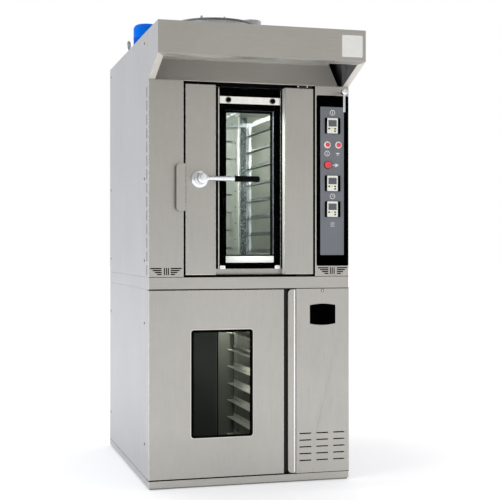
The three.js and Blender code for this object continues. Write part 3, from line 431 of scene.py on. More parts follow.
def lid_steel():
    made = Finish("lid_steel", (0.2, 0.2, 0.19, 1), 0.4, 1.0)
    return made.tone(0.12, 20).gloss(0.32, 0.5, 3)


def hinge_steel():
    made = Finish("hinge_steel", (0.05, 0.05, 0.05, 1), 0.45, 1.0)
    return made.tone(0.12, 20).gloss(0.32, 0.5, 3)


def grip_plastic():
    made = Finish("grip_plastic", colour(4, 4, 5), 0.42, Specular_IOR_Level=0.06)
    return made.tone(0.2, 8).gloss(0.36, 0.5, 3).relief(0.03, 0.7, detail=2.0)


def panel_black():
    made = Finish("panel_black", colour(2, 2, 3), 0.3, Specular_IOR_Level=0.0)
    return made.tone(0.3, 20).gloss(0.24, 0.36, 60).relief(0.002, 3)


def membrane_grey():
    made = Finish("panel_membrane", settings().colours.membrane, 0.5, Specular_IOR_Level=0.2)
    return made.tone(0.05, 1.2).tone(0.03, 90).gloss(0.44, 0.58, 2).relief(0.02, 0.9)


def module_plastic():
    made = Finish("module_plastic", colour(255, 255, 250), 0.4)
    return made.tone(0.02, 12).gloss(0.34, 0.46, 3).relief(0.01, 0.6)


def white_print():
    made = Finish("white_print", colour(255, 255, 255), 0.5)
    return made.tone(0.04, 3).gloss(0.42, 0.6, 4)


def key_yellow():
    return Finish("key_yellow", colour(250, 238, 110), 0.45).tone(0.05, 2).gloss(0.4, 0.5, 3)


def key_grey():
    return Finish("key_grey", colour(70, 72, 76), 0.5).tone(0.1, 2).gloss(0.42, 0.58, 3)


def display_glass():
    made = Finish("display_glass", colour(110, 113, 118), 0.16, Specular_IOR_Level=0.1)
    return made.tone(0.12, 2.5).gloss(0.08, 0.16, 12)


def button_plastic():
    made = Finish("button_plastic", settings().colours.buttons, 0.3, Coat_Weight=0.25)
    return made.tone(0.06, 6).gloss(0.24, 0.36, 4).relief(0.004, 1)


def ring_plastic():
    return Finish("ring_plastic", colour(255, 254, 250), 0.3).tone(0.03, 5).gloss(0.22, 0.36, 4)


def motor_paint():
    made = Finish("motor_paint", settings().colours.motor, 0.55, Specular_IOR_Level=0.03)
    made.tone(0.1, 60).tone(0.06, 3).specks((0.05, 0.16, 0.42, 1), 5, 0.02)
    return made.gloss(0.3, 0.5, 14).relief(0.06, 1.6)


# A darker copy of the motor paint for the clamp band: painted shade.
def shaded_paint():
    made = Finish("motor_band_painted_shade", scaled(settings().colours.motor, 0.4), 0.6)
    return made.tone(0.1, 20).gloss(0.5, 0.7, 6)


def gasket_rubber():
    made = Finish("gasket_rubber", colour(5, 5, 6), 0.85, Specular_IOR_Level=0.03)
    return made.tone(0.2, 5).gloss(0.65, 0.9, 4).relief(0.12, 1.4)


def mineral_wool():
    made = Finish("mineral_wool", colour(184, 170, 122), 0.95)
    return made.tone(0.25, 6, (1, 8, 1)).tone(0.12, 60).relief(0.8, 2.5, (1, 8, 1))


def clear_glass():
    made = Finish("clear_glass", (0.94, 0.96, 0.95, 1), 0.02, Transmission_Weight=1.0, IOR=1.05)
    return made.gloss(0.01, 0.035, 70).lets_lamps_through()


def smoked_glass():
    made = Finish("smoked_glass", (0.62, 0.65, 0.66, 1), 0.02, Transmission_Weight=1.0, IOR=1.1)
    return made.gloss(0.01, 0.04, 90).lets_lamps_through()


# White print that glows though nothing lights it: painted light on the low strip of the pane.
def low_strip_painted_glow():
    made = Finish("low_strip_painted_glow", colour(250, 249, 244), 0.5,
                  Emission_Color=(1, 0.99, 0.95, 1), Emission_Strength=0.22)
    return made.tone(0.015, 20).gloss(0.4, 0.6, 6)


def black_enamel():
    made = Finish("black_enamel", colour(2, 2, 3), 0.14, Specular_IOR_Level=0.0)
    return made.tone(0.3, 30).gloss(0.1, 0.18, 40)


def plate_enamel():
    made = Finish("plate_enamel", colour(246, 245, 240), 0.3, Coat_Weight=0.3)
    return made.tone(0.02, 30).gloss(0.24, 0.36, 8)


# Near-black paint put where there is only shade: painted shade in slots and gaps, round the inner
# pane and round a screw.
def dark_shade():
    made = Finish("dark_hollow", colour(3, 3, 4), 0.7, Specular_IOR_Level=0.02)
    return made.tone(0.3, 12).gloss(0.5, 0.75, 6)


def lamp_glow():
    made = Finish("lamp_glow", colour(255, 250, 235), 0.3,
                  Emission_Color=(1, 0.97, 0.9, 1), Emission_Strength=6.0)
    return made.gloss(0.2, 0.4, 10)


made_finishes = {}


def finish(recipe):
    """The material that a recipe makes, made once."""
    if recipe not in made_finishes:
        made_finishes[recipe] = recipe().material
    return made_finishes[recipe]


# ---------------------------------------------------------------- forms
SHARP = math.radians(35)
AXES = {"x": lambda along, u, v: (along, u, v), "y": lambda along, u, v: (u, along, v),
        "z": lambda along, u, v: (u, v, along)}


class Form:
    """A mesh being built in cabinet millimetres. paint is the index of its next faces' finish."""

    def __init__(self):
        self.mesh = bmesh.new()
        self.paint = 0

    def points(self, places):
        """New corners at those places."""
        return [self.mesh.verts.new(place(*p)) for p in places]

    def face(self, corners):
        """A face in the paint of the moment."""
        made = self.mesh.faces.new(corners)
        made.material_index = self.paint
        made.smooth = True

    def loop(self, first, second):
        """Faces all round between two rows of corners."""
        for i in range(len(first)):
            j = (i + 1) % len(first)
            self.face((first[i], first[j], second[j], second[i]))

    def block(self, x0, x1, y0, y1, z0, z1):
        """A bar, strip or plate with square corners."""
        return self.drawn([(x0, z0), (x1, z0), (x1, z1), (x0, z1)], "y", y0, y1)

    def drawn(self, outline, axis, start, stop):
        """An outline on the other two axes, drawn out along one."""
        low = self.points([AXES[axis](start, u, v) for u, v in outline])
        high = self.points([AXES[axis](stop, u, v) for u, v in outline])
        self.loop(low, high)
        self.face(low)
        self.face(high)
        return self

    def band(self, outer, inner, axis, start, stop):
        """A frame between two outlines with as many points each, drawn out along an axis."""
        rows = [self.points([AXES[axis](along, u, v) for u, v in outline])
                for outline, along in ((outer, start), (outer, stop), (inner, stop),
                                       (inner, start))]
        for first, second in zip(rows, rows[1:] + rows[:1]):
            self.loop(first, second)
        return self

    def turned(self, profile, axis, u, v, sides=40):
        """A profile of radius and place along the axis, turned round it."""
        rows = []
        for radius, along in profile:
            if radius == 0:
                rows.append(self.points([AXES[axis](along, u, v)]) * sides)
                continue
            rows.append(self.points([AXES[axis](along, u + radius * math.cos(turn),
                                                v + radius * math.sin(turn))
                                     for turn in (2 * math.pi * i / sides for i in range(sides))]))
        for first, second in zip(rows, rows[1:]):
            for i in range(sides):
                j = (i + 1) % sides
                corners = list(dict.fromkeys((first[i], first[j], second[j], second[i])))
                if len(corners) > 2:
                    self.face(corners)
        return self

    def rod(self, axis, radius, start, stop, u, v, sides=24, round_ends=0.0):
        """A bar with its ends eased by round_ends."""
        profile = [(radius, start), (radius, stop)]
        if round_ends:
            step = math.copysign(round_ends, stop - start)
            profile = [(radius - round_ends, start), (radius, start + step),
                       (radius, stop - step), (radius - round_ends, stop)]
        return self.turned([(0, start), *profile, (0, stop)], axis, u, v, sides)

    def swept(self, path, radius, sides=12):
        """A round bar along a path."""
        rows = []
        for i, p in enumerate(path):
            here = Vector(p)
            ahead = Vector(path[min(i + 1, len(path) - 1)]) - Vector(path[max(i - 1, 0)])
            side = ahead.cross(Vector((0.3, 0.5, 0.81))).normalized()
            up = ahead.cross(side).normalized()
            rows.append(self.points([
                here + side * radius * math.cos(turn) + up * radius * math.sin(turn)
                for turn in (2 * math.pi * k / sides for k in range(sides))]))
        for first, second in zip(rows, rows[1:]):
            self.loop(first, second)
        self.face(rows[0])
        self.face(rows[-1])
        return self

    def screw(self, axis, side, base, u, v, radius, height=2.2):
        """A low domed head with a round socket. side is +1 or -1, the way that it faces. The
        profile is in shares of the radius and the height."""
        profile = [(0, 0.35), (0.42, 0.3), (0.45, 0.95), (0.7, 0.92), (0.92, 0.55), (1, 0), (0, 0)]
        return self.turned([(r * radius, base + side * h * height) for r, h in profile],
                           axis, u, v, 20)

    def as_mesh(self, name):
        """The finished mesh. The form is used up."""
        data = bpy.data.meshes.new(name)
        self.mesh.to_mesh(data)
        self.mesh.free()
        return data


def rounded(u0, u1, v0, v1, radius, steps=5):
    """An outline with round corners. radius is one number, or one for each corner from the
    lower left, against the clock."""
    radii = [radius] * 4 if isinstance(radius, (int, float)) else radius
    corners = [(u0, v0, 180), (u1, v0, 270), (u1, v1, 0), (u0, v1, 90)]
    outline = []
    for (u, v, first), r in zip(corners, radii):
        cu = u + (r if u == u0 else -r)
        cv = v + (r if v == v0 else -r)
        for step in range(steps + 1):
            turn = math.radians(first + 90 * step / steps)
            outline.append((cu + r * math.cos(turn), cv + r * math.sin(turn)))
    return outline


def disc(u, v, radius, sides=32):
    return [(u + radius * math.cos(2 * math.pi * i / sides),
             v + radius * math.sin(2 * math.pi * i / sides)) for i in range(sides)]


def copied(node, flanks=False):
    """A CAD node's mesh as a form. With flanks, faces that look left or right get paint 1."""
    form = Form()
    source = frame["nodes"][node].data
    corners = [form.mesh.verts.new(v.co) for v in source.vertices]
    for polygon in source.polygons:
        form.paint = int(flanks and abs(polygon.normal.x) > 0.7)
        form.face([corners[i] for i in polygon.vertices])
    form.paint = 0
    bmesh.ops.remove_doubles(form.mesh, verts=form.mesh.verts, dist=1e-6)
    return form


def repaint(form, paint, x0, x1, y0, y1, z0=0, z1=3000):
    """Faces whose middle lies between those places get that paint."""
    low, high = place(x0, y0, z0), place(x1, y1, z1)
    for face in form.mesh.faces:
        middle = face.calc_center_median()
        if all(low[axis] < middle[axis] < high[axis] for axis in range(3)):
            face.material_index = paint


def weigh_folds(form):
    """The folds round a sheet's front get the whole rounding, its other edges a small one."""
    sizes = settings().sizes
    flange = 8 * MM
    weight = form.mesh.edges.layers.float.new("bevel_weight_edge")
    front = min(corner.co.y for corner in form.mesh.verts) + 0.01 * MM
    for edge in form.mesh.edges:
        if len(edge.link_faces) != 2 or abs(edge.calc_face_angle(0)) < SHARP:
            continue
        depths = [max(v.co.y for v in face.verts) - min(v.co.y for v in face.verts)
                  for face in edge.link_faces]
        folded = (all(corner.co.y < front for corner in edge.verts)
                  and max(depths) > flange and edge.calc_face_angle_signed(0) > 0)
        edge[weight] = 1.0 if folded else sizes.burr / sizes.edge


def add_object(name, data):
    """An object in the scene with that mesh, lamp or camera."""
    made = bpy.data.objects.new(name, data)
    bpy.context.scene.collection.objects.link(made)
    return made


def make_piece(name, form, body, recipes, edge=0.5, painted_highlight=False, standing_for=(),
               folded=False):
    """A piece from a form: its finishes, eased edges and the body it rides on."""
    bmesh.ops.recalc_face_normals(form.mesh, faces=form.mesh.faces)
    if folded:
        weigh_folds(form)
    data = form.as_mesh(name)
    for recipe in recipes:
        data.materials.append(finish(recipe))
    piece = add_object(name, data)
    if edge:
        bevel = piece.modifiers.new("eased_edges", "BEVEL")
        bevel.width = edge * MM
        bevel.segments = 3 if folded else 2
        bevel.limit_method = "WEIGHT" if folded else "ANGLE"
        bevel.angle_limit = SHARP
        bevel.use_clamp_overlap = False
        levelled = piece.modifiers.new("level_faces", "WEIGHTED_NORMAL")
        levelled.weight = 90
        levelled.keep_sharp = True
        # The rounded folds get the brighter steel of a painted highlight.
        if painted_highlight:
            data.materials.append(finish(painted_highlight_edge))
            bevel.material = len(data.materials) - 1
    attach(piece, body)
    if standing_for:
        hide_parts(*standing_for)
    return piece


def soften(node, name, recipe, edge=None, painted_highlight=False, body="cabinet", flanks=None):
    """The piece that stands for a sheet metal node, with its folded edges rounded. flanks is
    the recipe for its faces that look left or right."""
    rounding = settings().sizes.edge / MM if edge is None else edge
    recipes = [recipe, flanks] if flanks else [recipe]
    return make_piece(name, copied(node, bool(flanks)), body, recipes, rounding, painted_highlight,
                      [node], folded=edge is None)


def dress(recipe, *nodes):
    """CAD nodes whose shape is right get a finish."""
    for node in nodes:
        for holder in frame["nodes"][node].material_slots:
            holder.link = "OBJECT"
            holder.material = finish(recipe)


def add_lamp(name, where, size, power, tint, target, mirrored=True):
    """A square soft lamp that faces a target. Steel only shows it where it is mirrored."""
    data = bpy.data.lights.new(name, "AREA")
    data.size = size
    data.energy = power
    data.color = tint
    lamp = add_object(name, data)
    lamp.location = where
    lamp.rotation_euler = (target - where).to_track_quat("-Z", "Y").to_euler()
    lamp.visible_glossy = mirrored


# ---------------------------------------------------------------- studio
class OVEN_OT_studio(bpy.types.Operator):
    """Adds the camera, the lamps, the world and the floor"""

    bl_idname = "rack_oven.studio"
    bl_label = "Studio"

    def execute(self, context):
        self.add_camera()
        self.add_world()
        self.add_floor()
        cool = (0.94, 0.97, 1)
        add_lamp("left_lamp", place(-3300, -1500, 1400), 2.4, settings().studio.lamp, cool,
                 place(500, 515, 1100), mirrored=False)
        return {"FINISHED"}

    def add_camera(self):
        """A camera that looks level from the front, a little from the left."""
        data = bpy.data.cameras.new("studio_camera")
        camera = add_object("studio_camera", data)
        bpy.context.scene.camera = camera
        level, turn = math.radians(90), math.radians(-15.436)
        camera.location = place(-929.0, -5154.6, 1139.3)
        camera.rotation_euler = (level, 0, turn)
        data.lens = 79.92
        data.sensor_width = 36
        data.shift_y = -0.0036
        data.clip_end = 200

    def add_world(self):
        """White behind the object, a dimmer warm front and a cool left for steel to mirror."""
        studio = settings().studio
        world = bpy.data.worlds.new("studio_world")
        bpy.context.scene.world = world
        bpy.context.scene.view_settings.view_transform = "Standard"
        world.use_nodes = True
        tree = world.node_tree
        tree.nodes.clear()

        sight = tree.nodes.new("ShaderNodeTexCoord").outputs["Generated"]
        split = add_node(tree, "ShaderNodeSeparateXYZ", {0: sight})
        across, along = split.outputs["X"], split.outputs["Y"]
        to_front = ranged(tree, along, 0.15, -0.75, 0.0, 1.0, "SMOOTHSTEP")
        to_left = ranged(tree, across, -0.3, -0.9, 0.0, 1.0, "SMOOTHSTEP")
        strip_middle = 0.27
        off_strip = worked_out(tree, "ABSOLUTE",
                               worked_out(tree, "SUBTRACT", across, strip_middle))
        in_strip = ranged(tree, off_strip, 0.12, 0.07, 0.0, 1.0, "SMOOTHSTEP")

        front, strip, left = studio.front_level, studio.strip_level, studio.left_level
        white = (1, 1, 1, 1)
        warm_front = mixed(tree, in_strip, (front * 1.02, front, front * 0.94, 1),
                           (strip, strip * 0.99, strip * 0.95, 1))
        mirrored = mixed(tree, to_front, white, warm_front)
        mirrored = mixed(tree, to_left, mirrored, (left * 0.97, left, left * 1.05, 1))
        lighting = mixed(tree, to_front, white, (0.56, 0.56, 0.56, 1))
        lighting = mixed(tree, to_left, lighting, (0.8, 0.82, 0.86, 1))
        behind = on_rays(tree, "Is Camera Ray", "Is Transmission Ray")
        shown = mixed(tree, behind, mirrored, white)
        in_sight = on_rays(tree, "Is Camera Ray", "Is Transmission Ray", "Is Glossy Ray")
        tint = mixed(tree, in_sight, lighting, shown)
        background = add_node(tree, "ShaderNodeBackground", {"Color": tint})
        add_node(tree, "ShaderNodeOutputWorld", {"Surface": background.outputs[0]})

    def add_floor(self):
        """A pale floor that keeps the soft shadow and is white elsewhere; its glow dims near the
        object as a painted shadow.
        """
        height = -0.4
        form = Form()
        form.turned([(radius, height) for radius in (0, 1200, 3500, 60000)], "z", 500, 700, 48)
        floor = add_object("studio_floor", form.as_mesh("studio_floor"))
        made = Finish("studio_floor", (0.82, 0.82, 0.81, 1), 0.9,
                      Emission_Color=(1.0, 1.0, 1.05, 1))
        made.tone(0.01, 900)
        seen = on_rays(made.tree, "Is Camera Ray", "Is Glossy Ray", "Is Transmission Ray")
        apart = add_node(made.tree, "ShaderNodeVectorMath",
                         {0: made.point, 1: place(500, 600, 0)}, operation="DISTANCE")
        # Nearer the object the floor glows less: a painted shadow round it.
        near, far, dim, bright = 1.0, 3.2, 0.33, 0.6
        glow = ranged(made.tree, apart.outputs["Value"], near, far, dim, bright)
        made.join(worked_out(made.tree, "MULTIPLY", seen, glow), "Emission Strength")
        floor.data.materials.append(made.material)


# ---------------------------------------------------------------- casings
class OVEN_OT_casings(bpy.types.Operator):
    """Adds the folded steel casings of the oven and the proofer cabinet"""

    bl_idname = "rack_oven.casings"
    bl_label = "Casings"

    def execute(self, context):
        # The flanks of these front sheets get the cool side steel as painted side light.
        for node, name, slot, recipe in (
                ("plinth_frame", "plinth", "side_steel", casing_steel_level),
                ("middle_deck", "deck_band", "front_steel", casing_steel_level),
                ("service_panel", "service_panel_cover", "front_steel", casing_steel),
                ("left_pillar", "left_pillar_cover", "front_steel", casing_steel),
                ("right_pillar", "right_pillar_cover", "front_steel", casing_steel)):
            soften(node, name, recipe, painted_highlight=True, flanks=side_steel)
        soften("keeper_cover", "keeper_plate", casing_steel, painted_highlight=True)
        for node in ("proofer_left_side", "proofer_right_side", "oven_left_side",
                     "oven_right_side"):
            soften(node, f"{node}_panel", side_steel, 0.7, painted_highlight=True)
        for node in ("proofer_back", "oven_back", "oven_roof"):
            soften(node, f"{node}_panel", galvanised_steel, 0.7)
        self.add_door_gap_lining()
        self.add_upper_hinge_screws()
        self.add_seals()
        self.add_plinth_contact_shadow_strip()
        self.add_vent_backing()
        return {"FINISHED"}

    def add_door_gap_lining(self):
        """Black rubber round the oven door, set back in the gaps: a gasket, and painted shade that
        makes the gaps dark.
        """
        left, right = reach("left_pillar")[1], reach("right_pillar")[0]
        deck, lintel = reach("middle_deck")[5], reach("right_pillar")[5]
        low, high = reach("oven_door_shell")[4:]
        hinge = reach("oven_hinge_lower")[0] - 2
        sheet, side = 0.6, 2.5
        sill = deck + 4.3
        form = Form()
        form.block(left, right, -0.5, 0.5, deck - 1.6, sill)
        form.block(left, right, 0.5, 64, sill - sheet, sill)
        form.block(left + 3, hinge, 13, 60, sill, low - 1.5)
        form.block(left + 3, hinge, 13, 60, high + 1.5, lintel)
        form.block(left, left + side, 2, 26, sill, lintel)
        form.block(left, left + side, 42, 64, sill, lintel)
        form.block(right - side, right, 2, 64, sill, lintel)
        make_piece("door_gap_lining", form, "cabinet", [gasket_rubber], 0.2)

    def add_upper_hinge_screws(self):
        """Two screws on the hinge leaf in the gap over the oven door."""
        x0, _, front, _, _, _ = reach("oven_hinge_upper")
        high = reach("oven_door_shell")[5]
        form = Form()
        for x in (x0 + 5, x0 + 51):
            form.screw("y", -1, front, x, high + 8, 4, 2.5)
        make_piece("upper_hinge_screws", form, "cabinet", [polished_trim], 0)

    def add_seals(self):
        """Rubber over the proofer door and beads where sheets meet, dark strips that paint the
        shade in those gaps, and the left seam's dashes.
        """
        _, x1, _, _, foot, top = reach("proofer_door")
        under, deck = reach("middle_deck")[4:]
        skirt = reach("plinth_frame")[5]
        bead, side_bead, proud_bead = (-0.4, 0.2), (-0.3, 0.2), (-3, 0.2)
        form = Form()
        form.block(90, x1 - 2, 9, 20, top + 1, under - 0.1)
        form.block(0, WIDTH, *bead, top + 0.2, under + 2)
        form.block(0, WIDTH, *bead, skirt - 2, skirt + 0.4)
        form.block(0, x1 - 1, *bead, skirt + 0.4, foot - 0.2)
        for low, high in ((skirt - 1.6, skirt + 1), (top + 1.6, under + 1)):
            form.block(x1 + 3.6, WIDTH, *proud_bead, low, high)
        for left, right in ((0, reach("left_pillar")[1]), (reach("right_pillar")[0], WIDTH)):
            form.block(left, right, *bead, deck - 0.8, deck + 1)
        form.block(*side_bead, 4, DEPTH, skirt - 1.2, skirt + 0.2)
        dashes, length, pitch = 14, 48, 65
        for step in range(dashes):
            low = deck + 8 + pitch * step
            form.block(*side_bead, 43, 52, low, low + length)
        make_piece("proofer_seals", form, "cabinet", [gasket_rubber], 0.2)

    def add_plinth_contact_shadow_strip(self):
        """A dark strip set back under the plinth, in front and on the left: a painted contact
        shadow.
        """
        form = Form()
        form.block(6, WIDTH - 6, 6, 10, 1.5, 9)
        form.block(6, 10, 10, DEPTH - 6, 1.5, 9)
        make_piece("plinth_contact_shadow_strip", form, "cabinet", [lid_steel], 0.3)

    def add_vent_backing(self):
        """Dark plates behind the slots of the pillars and of the service panel, which paint the
        shade in the slots.
        """
        form = Form()
        for node, height in (("left_pillar", 110), ("right_pillar", 110),
                             ("service_panel", 330)):
            x0, x1, front, _, z0, _ = reach(node)
            form.block(x0 + 10, x1 - 10, front + 3.2, front + 4, z0 + 8, z0 + height)
        make_piece("vent_backing", form, "cabinet", [dark_shade], 0.2)


class OVEN_OT_hood(bpy.types.Operator):
    """Adds the hood, its baffle and the bare plate on its fascia"""

    bl_idname = "rack_oven.hood"
    bl_label = "Hood"

    def execute(self, context):
        self.add_cover()
        soften("hood_baffle", "hood_baffle_sheet", baffle_steel, 0.7)
        self.add_plate()
        return {"FINISHED"}

    def add_cover(self):
        """The folded hood: pale where it turns in at its mouth, a painted reflection of the floor,
        and streaked along its brow.
        """
        _, x1, front, _, _, top = reach("hood_shell")
        # The hood's cheeks, which look left or right, get the cool side steel as painted side
        # light.
        form = copied("hood_shell", flanks=True)
        form.mesh.normal_update()
        # Faces that look down and forward get the pale lip steel: a painted reflection of the
        # floor.
        for face in form.mesh.faces:
            if face.normal.y < -0.3 and face.normal.z < -0.3:
                face.material_index = 2
        repaint(form, 3, 180, x1 - 40, front + 1, -140, 0, top - 20)
        make_piece("hood_cover", form, "cabinet",
                   [casing_steel_level, side_steel, lip_steel, brow_steel], 1.2, True,
                   ["hood_shell"])

    def add_plate(self):
        """The bare square plate, with a polished line inside its edge."""
        _, x1, front, _, _, top = reach("hood_shell")
        side = settings().sizes.badge / MM
        left, low = x1 - 119.5, top - 129

        def square(margin, radius):
            return rounded(left + margin, left + side - margin, low + margin,
                           low + side - margin, radius)

        form = Form()
        form.drawn(square(0, 5), "y", front - 0.8, front + 0.4)
        form.paint = 1
        form.band(square(2.5, 3.5), square(3.7, 2.5), "y", front - 1.0, front - 0.5)
        make_piece("hood_plate", form, "cabinet", [plate_enamel, polished_trim],
                   0.3)


# ---------------------------------------------------------------- roof
class OVEN_OT_roof_gear(bpy.types.Operator):
    """Adds the fan motor, the drive drum, the flue and the lifting eye"""

    bl_idname = "rack_oven.roof_gear"
    bl_label = "Roof gear"

    def execute(self, context):
        self.add_fan_motor()
        self.add_drum()
        self.add_flue()
        self.add_lifting_eye()
        return {"FINISHED"}

    def add_fan_motor(self):
        """A flanged motor: ribbed body, clamp band in painted shade, domed cowl with slots painted
        as dark shade, terminal box.
        """
        x0, x1, _, _, z0, z1 = reach("fan_motor")
        x, y, _ = middle("fan_motor")
        flange = (x1 - x0) / 2
        radius = flange - 12
        cowl, dome = z1 - 78, 26
        form = Form()
        profile = [(0, z0 + 2), (12, z0 + 2), (12, z0), (flange, z0), (flange, z0 + 8),
                   (radius - 2, z0 + 10), (radius - 5, z0 + 18), (radius - 5, cowl - 6),
                   (radius - 2, cowl - 3), (radius - 2, cowl), (radius, cowl + 2),
                   (radius, z1 - dome)]
        for step in range(1, 6):
            turn = math.radians(18 * step)
            profile.append((radius - dome + dome * math.cos(turn),
                            z1 - dome + dome * math.sin(turn)))
        profile += [(16, z1 - 0.4), (14, z1 - 3), (0, z1 - 3)]
        form.turned(profile, "z", x, y, 56)
        ribs, slots = 28, 20
        for index in range(ribs):
            turn = 2 * math.pi * index / ribs
            self.add_rib(form, x, y, turn, radius - 7, radius - 0.5, z0 + 20, cowl - 9, 1.5)
        # The clamp band gets the darker copy of the motor paint: painted shade.
        form.paint = 1
        form.band(disc(x, y, radius + 0.6, 48), disc(x, y, radius - 4, 48), "z", cowl - 5,
                  cowl - 1)
        # The cowl's slots are near-black strips: painted shade.
        form.paint = 2
        for index in range(slots):
            turn = 2 * math.pi * index / slots
            self.add_rib(form, x, y, turn, 22, 42, z1 - 0.5, z1 - 0.1, 1.6)
        make_piece("fan_motor_body", form, "cabinet",
                   [motor_paint, shaded_paint, dark_shade], 0.6, standing_for=["fan_motor"])
        lid = y + radius + 24
        form = Form()
        form.drawn(rounded(x - 34, x + 34, z0 + 70, z0 + 138, 6), "y", lid - 34, lid)
        form.rod("z", 9, z0 + 58, z0 + 72, x - 14, lid - 16, 20, 1.5)
        for dx in (-27, 27):
            for dz in (77, 131):
                form.screw("y", 1, lid, x + dx, z0 + dz, 3.2, 1.6)
        make_piece("motor_terminal_box", form, "cabinet", [motor_paint], 1.2)

    def add_rib(self, form, x, y, turn, inner, outer, z0, z1, half):
        """An upright rib between two radii round x, y, at that turn and of that half width."""
        along = (math.cos(turn), math.sin(turn))
        across = (-along[1], along[0])
        corners = [(x + along[0] * r + across[0] * s, y + along[1] * r + across[1] * s)
                   for r, s in ((inner, -half), (outer, -half), (outer, half), (inner, half))]
        form.drawn(corners, "z", z0, z1)

    def add_drum(self):
        """The drive housing: rolled wall with two beads, lid with a hem and its screws."""
        x0, x1, _, _, z0, z1 = reach("drive_housing")
        x, y, _ = middle("drive_housing")
        lid = (x1 - x0) / 2
        wall = lid - 6
        profile = [(wall - 2, z0), (wall + 10, z0), (wall + 10, z0 + 2), (wall, z0 + 3)]
        for z in (z0 + 36, z0 + 88):
            profile += [(wall, z - 5), (wall + 2.5, z - 2), (wall + 2.5, z + 2), (wall, z + 5)]
        profile += [(wall, z1 - 9), (wall - 2, z1 - 9), (wall - 2, z0)]
        form = Form()
        form.turned(profile, "z", x, y, 96)
        form.paint = 1
        form.turned([(wall - 1, z1 - 9), (lid, z1 - 9), (lid, z1 - 1), (lid - 3, z1),
                     (lid - 16, z1), (lid - 20, z1 - 2.5), (0, z1 - 2.5), (0, z1 - 6),
                     (wall - 1, z1 - 6), (wall - 1, z1 - 9)], "z", x, y, 96)
        form.paint = 2
        screws, circle = 8, lid - 9
        for index in range(screws):
            turn = 2 * math.pi * (index + 0.5) / screws
            form.screw("z", 1, z1, x + circle * math.cos(turn), y + circle * math.sin(turn),
                       4, 1.8)
        make_piece("drive_drum", form, "cabinet",
                   [galvanised_steel, lid_steel, machine_steel], 0.5,
                   standing_for=["drive_housing"])
        form = Form()
        for stud in (x - 83, x + 38):
            form.rod("z", 5, z1 - 4, z1 + 33, stud, y - 77.6, 16, 1)
            form.rod("z", 9, z1 - 2, z1 + 6, stud, y - 77.6, 6, 0.8)
            form.rod("z", 8, z1 + 20, z1 + 27, stud, y - 77.6, 6, 0.8)
        make_piece("drum_studs", form, "cabinet", [machine_steel], 0.3)

    def add_flue(self):
        """The flue: seamed pipe with a rolled rim and a flashing collar on the roof."""
        z0, z1 = reach("flue_pipe")[4:]
        x, y, _ = middle("flue_pipe")
        radius, roof = 57, ROOF + 0.6
        form = Form()
        form.turned([(radius - 2, z0), (radius, z0), (radius, roof), (radius + 18, roof),
                     (radius + 18, roof + 1.5), (radius + 3, roof + 3), (radius, roof + 8),
                     (radius, z1 - 30), (radius + 1.6, z1 - 27), (radius + 1.6, z1 - 23),
                     (radius, z1 - 20), (radius, z1 - 3), (radius - 0.5, z1 - 0.6),
                     (radius - 1.5, z1), (radius - 2.6, z1 - 1), (radius - 2, z1 - 5),
                     (radius - 2, z0)], "z", x, y, 64)
        form.block(x - radius - 1.2, x - radius + 1, y - 5, y + 5, roof + 6, z1 - 4)
        screws, circle = 6, radius + 12
        for index in range(screws):
            turn = 2 * math.pi * (index + 0.25) / screws
            form.screw("z", 1, roof + 1.5, x + circle * math.cos(turn),
                       y + circle * math.sin(turn), 3.4, 1.6)
        make_piece("flue_tube", form, "cabinet", [galvanised_steel], 0.3,
                   standing_for=["flue_pipe"])

    def add_lifting_eye(self):
        """An eye bolt whose ring stands nearly edge-on to the front."""
        x, y, radius, wire, twist = 30, 756, 18, 5.4, math.radians(65)
        form = Form()
        form.rod("z", 10, ROOF, ROOF + 6, x, y, 24, 1.5)
        form.rod("z", 4, ROOF + 5, ROOF + 42, x, y, 16)
        turns = [2 * math.pi * i / 28 for i in range(29)]
        form.swept([(x + radius * math.sin(t) * math.cos(twist),
                     y + radius * math.sin(t) * math.sin(twist),
                     ROOF + 58 - radius * math.cos(t)) for t in turns], wire, 14)
        make_piece("lifting_eye", form, "cabinet", [machine_steel], 0)


